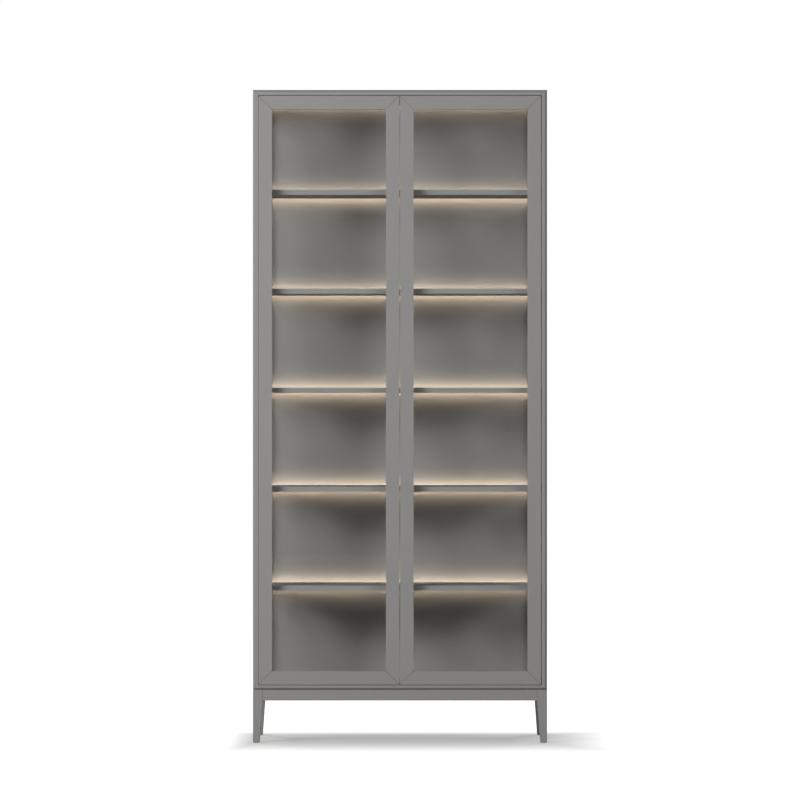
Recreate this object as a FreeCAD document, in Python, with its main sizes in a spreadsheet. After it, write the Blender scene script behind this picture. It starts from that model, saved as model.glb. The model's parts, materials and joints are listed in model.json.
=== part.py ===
"""Tall glazed bookcase: a carcass on a low leg frame, two inset doors and lit shelves.

Millimetres. The origin is on the floor under the middle of the cabinet, +X runs to
the right, the front faces -Y and +Z is up.
"""
import FreeCAD, Part
import os
import re
import Sketcher
from FreeCAD import Placement, Rotation, Vector

# ------------------------------------------------------------------ driving sizes
SIZES = [
    # overall
    ("cabinet_width", 1000),
    ("cabinet_depth", 400),
    ("carcass_height", 2040),
    ("base_height", 180),
    # boards
    ("side_thickness", 18),
    ("top_thickness", 18),
    ("bottom_thickness", 16),
    ("shelf_thickness", 18),
    ("back_thickness", 8),
    ("back_recess", 8),
    ("groove_depth", 6),
    ("groove_clearance", 0.1),
    ("carcass_chamfer", 7),
    ("board_ease", 0.6),
    ("side_margin", 75),
    # shelves and their pins
    ("shelf_setback", 45),
    ("shelf_end_clearance", 0.5),
    ("shelf_pin_radius", 2.5),
    ("shelf_pin_head_radius", 3.5),
    ("shelf_pin_depth", 10),
    ("shelf_pin_reach", 9),
    # base
    ("leg_width", 33),
    ("leg_foot_width", 23),
    ("apron_height", 36),
    ("apron_thickness", 18),
    ("brace_thickness", 18),
    ("brace_height", 30),
    ("brace_clearance", 2),
    ("glide_thickness", 2),
    ("glide_radius", 9),
    ("glide_nail_radius", 1.2),
    ("glide_nail_length", 15),
    # dowels
    ("dowel_radius", 4),
    ("dowel_length", 30),
    ("dowel_edge_depth", 10),
    ("dowel_spread", 140),
    ("dowel_pitch", 15),
    ("hole_clearance", 0.05),
    # doors
    ("left_gap", 1.0),
    ("centre_gap", 2.0),
    ("right_gap", 2.6),
    ("door_end_gap", 2),
    ("door_thickness", 20),
    ("frame_width", 46),
    ("frame_lip", 10),
    ("rebate_width", 8),
    ("glass_thickness", 4),
    ("glass_clearance", 0.5),
    ("bead_thickness", 6),
    ("mitre_key_size", 16),
    ("mitre_key_thickness", 3),
    ("mitre_key_setback", 9.5),
    ("mitre_key_clearance", 0.05),
    # pivot hinges
    ("hinge_axis_inset", 13),
    ("hinge_axis_depth", 4.6),
    ("hinge_leaf_length", 50),
    ("hinge_leaf_width", 10),
    ("hinge_leaf_thickness", 2.5),
    ("hinge_leaf_nose", 8),
    ("hinge_leaf_skin", 1),
    ("hinge_pin_radius", 2.5),
    ("hinge_pin_reach", 7.5),
    ("hinge_bore_spare", 1.5),
    ("hinge_running_clearance", 0.05),
    ("washer_radius", 4.2),
    ("washer_clearance", 0.1),
    ("hinge_screw_first", 18),
    ("hinge_screw_second", 36),
    # small wood screws
    ("screw_radius", 1.5),
    ("screw_head_radius", 2.9),
    ("screw_head_height", 1.5),
    ("screw_length", 14),
    # push latches
    ("latch_inset", 32),
    ("latch_drop", 12),
    ("latch_width", 18),
    ("latch_height", 20),
    ("latch_length", 62),
    ("latch_setback", 8),
    ("latch_bore_length", 48),
    ("latch_screw_pitch", 30),
    ("latch_flange_width", 42),
    ("latch_flange_length", 16),
    ("latch_flange_thickness", 3),
    ("plunger_radius", 4),
    ("plunger_length", 40),
    ("plunger_clearance", 0.3),
    ("strike_size", 14),
    ("strike_thickness", 1.5),
    # lights
    ("light_gap", 30),
    ("channel_depth", 9),
    ("channel_height", 14),
    ("channel_wall", 1.2),
    ("channel_end_inset", 6),
    ("tape_thickness", 1.2),
    ("tape_height", 10),
    ("lens_thickness", 1.5),
    # LED driver
    ("driver_length", 160),
    ("driver_width", 45),
    ("driver_height", 26),
    ("driver_wall", 2),
    ("driver_ear", 14),
    ("driver_setback", 15),
    ("inlet_length", 18),
    ("inlet_width", 20),
    ("inlet_height", 14),
    ("inlet_pin_radius", 2.4),
    ("inlet_pin_pitch", 8.6),
    ("inlet_pin_depth", 11),
    # base frame screws
    ("brace_screw_radius", 2.5),
    ("brace_screw_head_radius", 5),
    ("brace_screw_head_height", 3),
    ("brace_screw_bite", 11),
    # wall plates
    ("wall_plate_width", 14),
    ("wall_plate_height", 60),
    ("wall_plate_thickness", 2),
    ("wall_plate_drop", 60),
    ("wall_plate_screw_pitch", 44),
    ("wall_hole_radius", 2.75),
    ("wall_pocket_radius", 6),
    ("wall_pocket_depth", 10),
]

SHELF_COUNT = 5
LOW = "-1"
HIGH = "1"
SIDES = (("left", LOW), ("right", HIGH))
ENDS = (("front", LOW), ("rear", HIGH))

doc = FreeCAD.newDocument("glazed_bookcase")
sheet = doc.addObject("Spreadsheet::Sheet", "Sizes")
places = doc.addObject("App::VarSet", "Places")
holder = {}
parts = []


def spelled(text):
    """An expression with each size name written out with the object that holds it."""
    return re.sub(r"[a-z]\w*", lambda word: holder.get(word.group(), "") + word.group(), text)


def bind(item, prop, text):
    item.setExpression(prop, spelled(text))


def number(text):
    """The present value of an expression."""
    return float(places.evalExpression(spelled(text)))


def derive(name, text):
    """A place or size that follows from the driving ones."""
    places.addProperty("App::PropertyFloat", name, "Places")
    bind(places, name, text)
    holder[name] = "Places."


for row, (alias, value) in enumerate(SIZES, start=1):
    sheet.set(f"A{row}", alias)
    sheet.set(f"B{row}", str(value))
    sheet.setAlias(f"B{row}", alias)
    holder[alias] = "Sizes."

# ------------------------------------------------------------------ derived places
derive("half_width", "cabinet_width / 2")
derive("front", "-cabinet_depth / 2")
derive("rear", "cabinet_depth / 2")
derive("carcass_bottom", "base_height")
derive("carcass_top", "base_height + carcass_height")
derive("inner_half", "half_width - side_thickness")
derive("floor_level", "carcass_bottom + bottom_thickness")
derive("ceiling_level", "carcass_top - top_thickness")
derive("inner_height", "ceiling_level - floor_level")
derive("bay_height", f"(inner_height - {SHELF_COUNT} * shelf_thickness) / {SHELF_COUNT + 1}")
derive("back_rear", "rear - back_recess")
derive("back_front", "back_rear - back_thickness")
derive("lens_face", "back_front - light_gap")
derive("channel_front", "lens_face - channel_depth")
derive("shelf_front", "front + shelf_setback")
derive("shelf_half", "inner_half - shelf_end_clearance")
derive("channel_half", "shelf_half - channel_end_inset")
derive("apron_bottom", "carcass_bottom - apron_height")
derive("leg_inner_x", "half_width - leg_width")
derive("leg_inner_y", "rear - leg_width")
derive("apron_inner_x", "half_width - apron_thickness")
derive("apron_inner_y", "rear - apron_thickness")
# A brace crosses each corner behind its leg. Its reach is measured along the aprons,
# from the corner where their inner faces would meet.
derive("brace_near", "2 * (leg_width - apron_thickness) + brace_clearance")
derive("brace_far", "brace_near + brace_thickness * sqrt(2)")
derive("brace_middle", "(brace_near + brace_far) / 4")
derive("brace_bottom", "carcass_bottom - brace_height")
derive("door_width", "(2 * inner_half - left_gap - centre_gap - right_gap) / 2")
derive("left_hinge_edge", "-inner_half + left_gap")
derive("right_hinge_edge", "inner_half - right_gap")
derive("door_bottom", "floor_level + door_end_gap")
derive("door_top", "ceiling_level - door_end_gap")
derive("door_rear", "front + door_thickness")
derive("glass_front", "front + frame_lip")
derive("glass_rear", "glass_front + glass_thickness")
derive("bead_rear", "glass_rear + bead_thickness")
# The window in a side panel is level with the glass of the doors.
derive("window_front", "front + side_margin")
derive("window_rear", "rear - side_margin")
derive("window_low", "door_bottom + frame_width")
derive("window_high", "door_top - frame_width")
derive("side_pane_inner", "inner_half + bead_thickness")
derive("side_pane_outer", "side_pane_inner + glass_thickness")
derive("pocket_inset", "frame_width - rebate_width")
derive("glass_inset", "pocket_inset + glass_clearance")
derive("key_near", "(frame_width - mitre_key_size) / 2")
derive("key_far", "(frame_width + mitre_key_size) / 2")
derive("key_middle", "front + door_thickness - mitre_key_setback")
derive("hinge_y", "front + hinge_axis_depth")
derive("leaf_front", "front + hinge_leaf_skin")
derive("leaf_middle", "leaf_front + hinge_leaf_width / 2")
derive("latch_z", "door_top - latch_drop")
derive("latch_low", "latch_z - latch_height / 2")
derive("latch_front", "door_rear + latch_setback")
derive("plunger_tip", "door_rear + plunger_clearance")
derive("dowel_hole_radius", "dowel_radius + hole_clearance")
derive("driver_rear", "apron_inner_y - driver_setback")
derive("driver_front", "driver_rear - driver_width")
derive("driver_middle", "(driver_front + driver_rear) / 2")
derive("driver_half", "driver_length / 2")
derive("driver_lid_level", "carcass_bottom - driver_wall")
derive("driver_low", "driver_lid_level - driver_height")
derive("inlet_middle", "driver_low + driver_wall + inlet_height / 2")
derive("wall_plate_x", "half_width - side_thickness / 2")
derive("wall_plate_z", "carcass_top - wall_plate_drop - wall_plate_height / 2")
doc.recompute()

# ------------------------------------------------------------------ building blocks
TURNS = {
    "+x": Rotation(Vector(0, 1, 0), 90),
    "-x": Rotation(Vector(0, 1, 0), -90),
    "+y": Rotation(Vector(1, 0, 0), -90),
    "-y": Rotation(Vector(1, 0, 0), 90),
    "+z": Rotation(),
    "-z": Rotation(Vector(1, 0, 0), 180),
}


def piece(item, label):
    """Take an object as a finished sub-part of its own name."""
    item.Label = label
    parts.append(item)
    return item


def new_body(label):
    return piece(doc.addObject("PartDesign::Body", label), label)


def set_box(box, low, high):
    """Bind a box to its lowest and highest corners."""
    for axis, size, start, end in zip("xyz", ("Length", "Width", "Height"), low, high):
        bind(box, size, f"({end}) - ({start})")
        bind(box, f"Placement.Base.{axis}", start)


def set_cylinder(rod, spot, direction, radius, start, length):
    """Bind a cylinder that runs along a direction, from start on."""
    rod.Placement = Placement(Vector(), TURNS[direction])
    bind(rod, "Radius", radius)
    bind(rod, "Height", length)
    for axis, place in zip("xyz", spot):
        along = f" {direction[0]} ({start})" if axis == direction[1] else ""
        bind(rod, f"Placement.Base.{axis}", f"({place}){along}")


def add_box(body, low, high):
    set_box(body.newObject("PartDesign::AdditiveBox", "Block"), low, high)


def cut_box(body, low, high):
    set_box(body.newObject("PartDesign::SubtractiveBox", "Recess"), low, high)


def cut_hole(body, spot, direction, radius, length):
    hole = body.newObject("PartDesign::SubtractiveCylinder", "Hole")
    set_cylinder(hole, spot, direction, radius, "0", length)


def draw_polygon(sketch, points):
    """Close a polygon whose every corner is held by its two coordinates."""
    corners = [Vector(number(across), number(up), 0) for across, up in points]
    for index, corner in enumerate(corners):
        following = corners[(index + 1) % len(corners)]
        sketch.addGeometry(Part.LineSegment(corner, following), False)
    for index in range(len(corners)):
        following = (index + 1) % len(corners)
        sketch.addConstraint(Sketcher.Constraint("Coincident", index, 2, following, 1))
    for index, (corner, point) in enumerate(zip(corners, points)):
        for kind, value, text in zip(("DistanceX", "DistanceY"), corner, point):
            place = sketch.addConstraint(Sketcher.Constraint(kind, -1, 1, index, 1, value))
            bind(sketch, f"Constraints[{place}]", text)


def outline(body, role, points, lift):
    """A closed polygon on one of the body's origin planes, lifted along its normal."""
    sketch = body.newObject("Sketcher::SketchObject", "Outline")
    plane = [item for item in body.Origin.OriginFeatures if item.Role == role][0]
    sketch.AttachmentSupport = [(plane, "")]
    sketch.MapMode = "FlatFace"
    bind(sketch, "AttachmentOffset.Base.z", lift)
    draw_polygon(sketch, points)
    return sketch


def pad(body, sketch, length, backwards=False):
    solid = body.newObject("PartDesign::Pad", "Pad")
    solid.Profile = sketch
    solid.Reversed = backwards
    bind(solid, "Length", length)


def pocket(body, sketch, length, backwards=False):
    hollow = body.newObject("PartDesign::Pocket", "Pocket")
    hollow.Profile = sketch
    hollow.Reversed = backwards
    bind(hollow, "Length", length)


def chamfer(body, size, *tests):
    """Bevel the edges whose two ends both pass one of the tests."""
    doc.recompute()
    base = body.Tip
    names = [
        f"Edge{index}"
        for index, edge in enumerate(base.Shape.Edges, start=1)
        if any(all(test(vertex.Point) for vertex in edge.Vertexes) for test in tests)
    ]
    bevel = body.newObject("PartDesign::Chamfer", "Bevel")
    bevel.Base = (base, names)
    bind(bevel, "Size", size)


def near(value, text):
    return abs(value - number(text)) < 0.001


def solid_box(name, low, high):
    box = doc.addObject("Part::Box", name)
    set_box(box, low, high)
    return box


def turned(name, spot, direction, steps):
    """One turned piece: coaxial cylinders, each (radius, start, length)."""
    rods = []
    for radius, start, length in steps:
        rod = doc.addObject("Part::Cylinder", name)
        set_cylinder(rod, spot, direction, radius, start, length)
        rods.append(rod)
    if len(rods) == 1:
        return rods[0]
    joined = doc.addObject("Part::MultiFuse", name)
    joined.Shapes = rods
    return joined


def cut_from(name, base, tools):
    """A solid with its holes and recesses cut out."""
    joined = tools[0]
    if len(tools) > 1:
        joined = doc.addObject("Part::MultiFuse", name + "_cutters")
        joined.Shapes = tools
    rest = doc.addObject("Part::Cut", name)
    rest.Base = base
    rest.Tool = joined
    return rest


def group(label, solids):
    """Like pieces that share one node, as separate solids."""
    bundle = doc.addObject("Part::Compound", label)
    bundle.Links = solids
    piece(bundle, label)


def span(hand, inner, outer):
    """Low and high ends of a stretch that is mirrored from the high side to the low."""
    if hand == HIGH:
        return inner, outer
    return f"-({outer})", f"-({inner})"


def outward(axis, hand):
    """The direction along an axis that leads away from the middle."""
    return ("+" if hand == HIGH else "-") + axis


def inward(axis, hand):
    return ("-" if hand == HIGH else "+") + axis


def levels(face, depth, direction):
    """Low and high z of a depth that goes up or down from a face."""
    if direction == "+z":
        return face, f"{face} + {depth}"
    return f"{face} - ({depth})", face


def shelf_bottom(index):
    return f"floor_level + {index + 1} * bay_height + {index} * shelf_thickness"


def wood_screw(name, spot, direction):
    """A small countersunk screw, from the face that its head is flush with."""
    steps = (
        ("screw_head_radius", "0", "screw_head_height"),
        ("screw_radius", "screw_head_height", "screw_length"),
    )
    return turned(name, spot, direction, steps)


def screw_pilot(body, spot, direction):
    cut_hole(body, spot, direction, "screw_radius + hole_clearance",
             "screw_head_height + screw_length + hole_clearance")


# ------------------------------------------------------------------ where fasteners go
CARCASS_DOWEL_LEVELS = (
    "(ceiling_level + carcass_top) / 2",
    "(floor_level + carcass_bottom) / 2",
)
CARCASS_DOWEL_ROWS = ("-dowel_spread", "0", "dowel_spread")
APRON_DOWEL_LEVELS = (
    "carcass_bottom - (apron_height + dowel_pitch) / 2",
    "carcass_bottom - (apron_height - dowel_pitch) / 2",
)
# A pin stands in the middle of the solid margin that each end of a shelf crosses.
SHELF_PIN_ROWS = (
    "(shelf_front + window_front - rebate_width) / 2",
    "(channel_front + window_rear + rebate_width) / 2",
)
WALL_SCREW_LEVELS = (
    "wall_plate_z - wall_plate_screw_pitch / 2",
    "wall_plate_z + wall_plate_screw_pitch / 2",
)


def carcass_dowel_start(hand):
    """Outer end of a dowel between a side panel and the top or bottom."""
    return f"{hand} * (inner_half + dowel_edge_depth)"


def pin_level(index):
    return f"{shelf_bottom(index)} - shelf_pin_head_radius"


# ------------------------------------------------------------------ carcass
def side_panel(side, hand):
    """A board with a window, whose glass sits in a rebate from the inside."""
    body = new_body(f"{side}_side_panel")
    low_x, high_x = span(hand, "inner_half", "half_width")
    add_box(body, (low_x, "front", "carcass_bottom"), (high_x, "rear", "carcass_top"))
    chamfer(body, "carcass_chamfer",
            lambda point: near(point.y, "front") and near(point.x, f"{hand} * half_width"),
            lambda point: near(point.y, "front") and near(point.z, "carcass_top"),
            lambda point: near(point.y, "front") and near(point.z, "carcass_bottom"))
    groove_x, groove_end = span(hand, "inner_half", "inner_half + groove_depth + groove_clearance")
    cut_box(body,
            (groove_x, "back_front - groove_clearance",
             "floor_level - groove_depth - groove_clearance"),
            (groove_end, "back_rear + groove_clearance",
             "ceiling_level + groove_depth + groove_clearance"))
    pocket_x, pocket_end = span(hand, "inner_half", "side_pane_outer")
    cut_box(body,
            (pocket_x, "window_front - rebate_width", "window_low - rebate_width"),
            (pocket_end, "window_rear + rebate_width", "window_high + rebate_width"))
    lip_x, lip_end = span(hand, "side_pane_outer", "half_width")
    cut_box(body, (lip_x, "window_front", "window_low"), (lip_end, "window_rear", "window_high"))
    inner_face = f"{hand} * inner_half"
    for level in CARCASS_DOWEL_LEVELS:
        for row in CARCASS_DOWEL_ROWS:
            cut_hole(body, (inner_face, row, level), outward("x", hand), "dowel_hole_radius",
                     "dowel_edge_depth + hole_clearance")
    for index in range(SHELF_COUNT):
        for row in SHELF_PIN_ROWS:
            cut_hole(body, (inner_face, row, pin_level(index)), outward("x", hand),
                     "shelf_pin_radius + hole_clearance", "shelf_pin_depth + hole_clearance")
    plate_low, plate_high = span(hand, "wall_plate_x - wall_plate_width / 2",
                                 "wall_plate_x + wall_plate_width / 2")
    cut_box(body,
            (plate_low, "rear - wall_plate_thickness", "wall_plate_z - wall_plate_height / 2"),
            (plate_high, "rear", "wall_plate_z + wall_plate_height / 2"))
    plate_spot = (f"{hand} * wall_plate_x", "rear")
    cut_hole(body, plate_spot + ("wall_plate_z",), "-y", "wall_pocket_radius", "wall_pocket_depth")
    for level in WALL_SCREW_LEVELS:
        screw_pilot(body, plate_spot + (level,), "-y")


def side_glass(side, hand):
    body = new_body(f"{side}_side_glass")
    low_x, high_x = span(hand, "side_pane_inner", "side_pane_outer")
    spare = "rebate_width - glass_clearance"
    add_box(body, (low_x, f"window_front - ({spare})", f"window_low - ({spare})"),
            (high_x, f"window_rear + {spare}", f"window_high + {spare}"))


def side_glass_beads():
    """Four square beads inside each pane: the upright ones run past the level ones."""
    beads = []
    low_y, high_y = "window_front - rebate_width", "window_rear + rebate_width"
    low_z, high_z = "window_low - rebate_width", "window_high + rebate_width"
    boxes = (
        ((low_y, low_z), ("window_front", high_z)),
        (("window_rear", low_z), (high_y, high_z)),
        (("window_front", low_z), ("window_rear", "window_low")),
        (("window_front", "window_high"), ("window_rear", high_z)),
    )
    for _, hand in SIDES:
        low_x, high_x = span(hand, "inner_half", "side_pane_inner")
        for low, high in boxes:
            beads.append(solid_box("Side_bead", (low_x,) + low, (high_x,) + high))
    group("side_glass_beads", beads)


def end_panel(label, face, outer, direction):
    """The top or the bottom board, from its inner face outwards."""
    body = new_body(label)
    thickness = f"abs({outer} - {face})"
    low_z, high_z = levels(face, thickness, direction)
    add_box(body, ("-inner_half", "front", low_z), ("inner_half", "rear", high_z))
    chamfer(body, "carcass_chamfer",
            lambda point: near(point.y, "front") and near(point.z, outer))
    groove_low, groove_high = levels(face, "groove_depth + groove_clearance", direction)
    cut_box(body, ("-inner_half", "back_front - groove_clearance", groove_low),
            ("inner_half", "back_rear + groove_clearance", groove_high))
    for _, hand in SIDES:
        for row in CARCASS_DOWEL_ROWS:
            cut_hole(body, (f"{hand} * inner_half", row, f"({face} + {outer}) / 2"),
                     inward("x", hand), "dowel_hole_radius",
                     "dowel_length - dowel_edge_depth + hole_clearance")
    for side, _ in SIDES:
        cut_box(body, *leaf_box(side, face, direction))
        for spot in leaf_screw_spots(side):
            screw_pilot(body, spot + (face,), direction)
    return body


def top_panel():
    body = end_panel("top_panel", "ceiling_level", "carcass_top", "+z")
    for side, _ in SIDES:
        for spot in latch_screw_spots(side):
            cut_hole(body, spot, "+z", "screw_radius + hole_clearance",
                     "latch_flange_thickness + screw_length + hole_clearance")


def bottom_panel():
    body = end_panel("bottom_panel", "floor_level", "carcass_bottom", "-z")
    for _, hand in SIDES:
        for _, end in ENDS:
            cut_hole(body, brace_spot(hand, end), "+z", "brace_screw_radius + hole_clearance",
                     "brace_height + brace_screw_bite + hole_clearance")
    for spot in driver_screw_spots():
        cut_hole(body, spot, "+z", "screw_radius + hole_clearance",
                 "screw_length + hole_clearance")


def back_panel():
    body = new_body("back_panel")
    add_box(body,
            ("-inner_half - groove_depth", "back_front", "floor_level - groove_depth"),
            ("inner_half + groove_depth", "back_rear", "ceiling_level + groove_depth"))


def shelf(index):
    body = new_body(f"shelf_{index + 1}")
    bottom = shelf_bottom(index)
    add_box(body, ("-shelf_half", "shelf_front", bottom),
            ("shelf_half", "channel_front", f"{bottom} + shelf_thickness"))
    chamfer(body, "board_ease", lambda point: near(point.y, "shelf_front"))


def shelf_pins():
    steps = (
        ("shelf_pin_radius", "-shelf_pin_depth", "shelf_pin_depth"),
        ("shelf_pin_head_radius", "0", "shelf_pin_reach"),
    )
    pins = [
        turned("Shelf_pin", (f"{hand} * inner_half", row, pin_level(index)), inward("x", hand), steps)
        for index in range(SHELF_COUNT)
        for _, hand in SIDES
        for row in SHELF_PIN_ROWS
    ]
    group("shelf_pins", pins)


def dowels():
    step = (("dowel_radius", "0", "dowel_length"),)
    rods = []
    for _, hand in SIDES:
        for level in CARCASS_DOWEL_LEVELS:
            for row in CARCASS_DOWEL_ROWS:
                spot = (carcass_dowel_start(hand), row, level)
                rods.append(turned("Dowel", spot, inward("x", hand), step))
        for _, end in ENDS:
            for level in APRON_DOWEL_LEVELS:
                along_x = (f"{hand} * (leg_inner_x + dowel_length / 2)",
                           f"{end} * (rear - apron_thickness / 2)", level)
                along_y = (f"{hand} * (half_width - apron_thickness / 2)",
                           f"{end} * (leg_inner_y + dowel_length / 2)", level)
                rods.append(turned("Dowel", along_x, inward("x", hand), step))
                rods.append(turned("Dowel", along_y, inward("y", end), step))
    group("dowels", rods)


# ------------------------------------------------------------------ leg frame
def leg(side, hand, end_name, end):
    """A square leg that tapers on its two inner faces below the aprons."""
    body = new_body(f"{end_name}_{side}_leg")
    outer_x = f"{hand} * half_width"
    shoulder_x = f"{hand} * leg_inner_x"
    foot_x = f"{hand} * (half_width - leg_foot_width)"
    profile = outline(body, "XZ_Plane", (
        (outer_x, "glide_thickness"),
        (foot_x, "glide_thickness"),
        (shoulder_x, "apron_bottom"),
        (shoulder_x, "carcass_bottom"),
        (outer_x, "carcass_bottom"),
    ), f"{end} * front")
    pad(body, profile, "leg_width", backwards=end == LOW)
    taper = outline(body, "YZ_Plane", (
        (f"{end} * leg_inner_y", "apron_bottom"),
        (f"{end} * leg_inner_y", "glide_thickness"),
        (f"{end} * (rear - leg_foot_width)", "glide_thickness"),
    ), shoulder_x)
    pocket(body, taper, "leg_width", backwards=hand == HIGH)
    foot_spot = glide_spot(hand, end)
    cut_hole(body, foot_spot, "+z", "glide_nail_radius + hole_clearance",
             "glide_nail_length + hole_clearance")
    for level in APRON_DOWEL_LEVELS:
        cut_hole(body, (shoulder_x, f"{end} * (rear - apron_thickness / 2)", level),
                 outward("x", hand), "dowel_hole_radius", "dowel_length / 2 + hole_clearance")
        cut_hole(body, (f"{hand} * (half_width - apron_thickness / 2)",
                        f"{end} * leg_inner_y", level),
                 outward("y", end), "dowel_hole_radius",
                 "dowel_length / 2 + hole_clearance")


def glide_spot(hand, end):
    return (f"{hand} * (half_width - leg_foot_width / 2)",
            f"{end} * (rear - leg_foot_width / 2)", "glide_thickness")


def long_apron(end_name, end):
    body = new_body(f"{end_name}_apron")
    low_y, high_y = span(end, "apron_inner_y", "rear")
    add_box(body, ("-leg_inner_x", low_y, "apron_bottom"),
            ("leg_inner_x", high_y, "carcass_bottom"))
    for _, hand in SIDES:
        for level in APRON_DOWEL_LEVELS:
            spot = (f"{hand} * leg_inner_x", f"{end} * (rear - apron_thickness / 2)", level)
            cut_hole(body, spot, inward("x", hand), "dowel_hole_radius",
                     "dowel_length / 2 + hole_clearance")


def side_apron(side, hand):
    body = new_body(f"{side}_apron")
    low_x, high_x = span(hand, "apron_inner_x", "half_width")
    add_box(body, (low_x, "-leg_inner_y", "apron_bottom"),
            (high_x, "leg_inner_y", "carcass_bottom"))
    for _, end in ENDS:
        for level in APRON_DOWEL_LEVELS:
            spot = (f"{hand} * (half_width - apron_thickness / 2)",
                    f"{end} * leg_inner_y", level)
            cut_hole(body, spot, inward("y", end), "dowel_hole_radius",
                     "dowel_length / 2 + hole_clearance")


def brace_spot(hand, end):
    return (f"{hand} * (apron_inner_x - brace_middle)",
            f"{end} * (apron_inner_y - brace_middle)", "brace_bottom")


def corner_brace(hand, end):
    """A block with mitred ends between two aprons, bored for its screw."""
    sketch = doc.addObject("Sketcher::SketchObject", "Brace_outline")
    bind(sketch, "Placement.Base.z", "brace_bottom")
    draw_polygon(sketch, (
        (f"{hand} * (apron_inner_x - brace_near)", f"{end} * apron_inner_y"),
        (f"{hand} * (apron_inner_x - brace_far)", f"{end} * apron_inner_y"),
        (f"{hand} * apron_inner_x", f"{end} * (apron_inner_y - brace_far)"),
        (f"{hand} * apron_inner_x", f"{end} * (apron_inner_y - brace_near)"),
    ))
    block = doc.addObject("Part::Extrusion", "Brace_block")
    block.Base = sketch
    block.DirMode = "Custom"
    block.Dir = Vector(0, 0, 1)
    block.Solid = True
    bind(block, "LengthFwd", "brace_height")
    bore = turned("Brace_bore", brace_spot(hand, end), "+z",
                  (("brace_screw_radius + hole_clearance", "0", "brace_height"),))
    return cut_from("Brace", block, [bore])


def corner_braces():
    group("corner_braces", [corner_brace(hand, end) for _, hand in SIDES for _, end in ENDS])


def brace_screws():
    steps = (
        ("brace_screw_head_radius", "-brace_screw_head_height", "brace_screw_head_height"),
        ("brace_screw_radius", "0", "brace_height + brace_screw_bite"),
    )
    screws = [
        turned("Brace_screw", brace_spot(hand, end), "+z", steps)
        for _, hand in SIDES for _, end in ENDS
    ]
    group("brace_screws", screws)


def leg_glides():
    steps = (
        ("glide_radius", "-glide_thickness", "glide_thickness"),
        ("glide_nail_radius", "0", "glide_nail_length"),
    )
    glides = [
        turned("Glide", glide_spot(hand, end), "+z", steps)
        for _, hand in SIDES for _, end in ENDS
    ]
    group("leg_glides", glides)


# ------------------------------------------------------------------ doors
def along_door(side, distance):
    sign = "+" if side == "left" else "-"
    return f"({side}_hinge_edge {sign} ({distance}))"


def door_span(side, near_edge, far_edge):
    """Low and high x between two distances from a door's hinged edge."""
    ends = along_door(side, near_edge), along_door(side, far_edge)
    return ends if side == "left" else ends[::-1]


def leaf_box(side, face, direction):
    """Corners of a hinge leaf let into a face."""
    low_x, high_x = door_span(side, "hinge_axis_inset - hinge_leaf_nose",
                              "hinge_axis_inset - hinge_leaf_nose + hinge_leaf_length")
    low_z, high_z = levels(face, "hinge_leaf_thickness", direction)
    return (low_x, "leaf_front", low_z), (high_x, "leaf_front + hinge_leaf_width", high_z)


def hinge_spot(side):
    return along_door(side, "hinge_axis_inset"), "hinge_y"


def leaf_screw_spots(side):
    return [
        (along_door(side, f"hinge_axis_inset + {step}"), "leaf_middle")
        for step in ("hinge_screw_first", "hinge_screw_second")
    ]


# Each door end has its level and the direction from the door into the carcass.
DOOR_ENDS = (("top", "door_top", "ceiling_level", "+z"),
             ("bottom", "door_bottom", "floor_level", "-z"))
BACK = {"+z": "-z", "-z": "+z"}


def ease_front_edges(body):
    chamfer(body, "board_ease", lambda point: near(point.y, "front"))


def cut_glass_pocket(body, side):
    low_x, high_x = door_span(side, "pocket_inset", "door_width - pocket_inset")
    cut_box(body, (low_x, "glass_front", "door_bottom + pocket_inset"),
            (high_x, "door_rear", "door_top - pocket_inset"))


def key_box(side, far_end, top, spare):
    """Corners of the square key across one mitre, with a clearance all round."""
    near_x, far_x = f"key_near - {spare}", f"key_far + {spare}"
    if far_end:
        near_x, far_x = f"door_width - key_far - {spare}", f"door_width - key_near + {spare}"
    low_x, high_x = door_span(side, near_x, far_x)
    low_z, high_z = f"door_bottom + key_near - {spare}", f"door_bottom + key_far + {spare}"
    if top:
        low_z, high_z = f"door_top - key_far - {spare}", f"door_top - key_near + {spare}"
    half = f"(mitre_key_thickness / 2 + {spare})"
    return (low_x, f"key_middle - {half}", low_z), (high_x, f"key_middle + {half}", high_z)


def door_rail(side, name, edge, direction):
    """The top or bottom member of a door, mitred at both ends."""
    body = new_body(f"{side}_door_{name}_rail")
    inside = f"{edge} {BACK[direction][0]} frame_width"
    profile = outline(body, "XZ_Plane", (
        (along_door(side, "0"), edge),
        (along_door(side, "door_width"), edge),
        (along_door(side, "door_width - frame_width"), inside),
        (along_door(side, "frame_width"), inside),
    ), "-front")
    pad(body, profile, "door_thickness", backwards=True)
    ease_front_edges(body)
    cut_glass_pocket(body, side)
    for far_end in (False, True):
        cut_box(body, *key_box(side, far_end, direction == "+z", "mitre_key_clearance"))
    cut_box(body, *leaf_box(side, edge, BACK[direction]))
    cut_hole(body, hinge_spot(side) + (edge,), BACK[direction],
             "hinge_pin_radius + hinge_running_clearance",
             "hinge_pin_reach - door_end_gap + hinge_bore_spare")
    for spot in leaf_screw_spots(side):
        screw_pilot(body, spot + (edge,), BACK[direction])
    if name == "top":
        cut_box(body, *strike_box(side))


def door_stile(side, name, outer, inner):
    """An upright member of a door, mitred at both ends."""
    body = new_body(f"{side}_door_{name}_stile")
    profile = outline(body, "XZ_Plane", (
        (along_door(side, outer), "door_bottom"),
        (along_door(side, outer), "door_top"),
        (along_door(side, inner), "door_top - frame_width"),
        (along_door(side, inner), "door_bottom + frame_width"),
    ), "-front")
    pad(body, profile, "door_thickness", backwards=True)
    ease_front_edges(body)
    cut_glass_pocket(body, side)
    for top in (False, True):
        cut_box(body, *key_box(side, name == "meeting", top, "mitre_key_clearance"))


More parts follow.
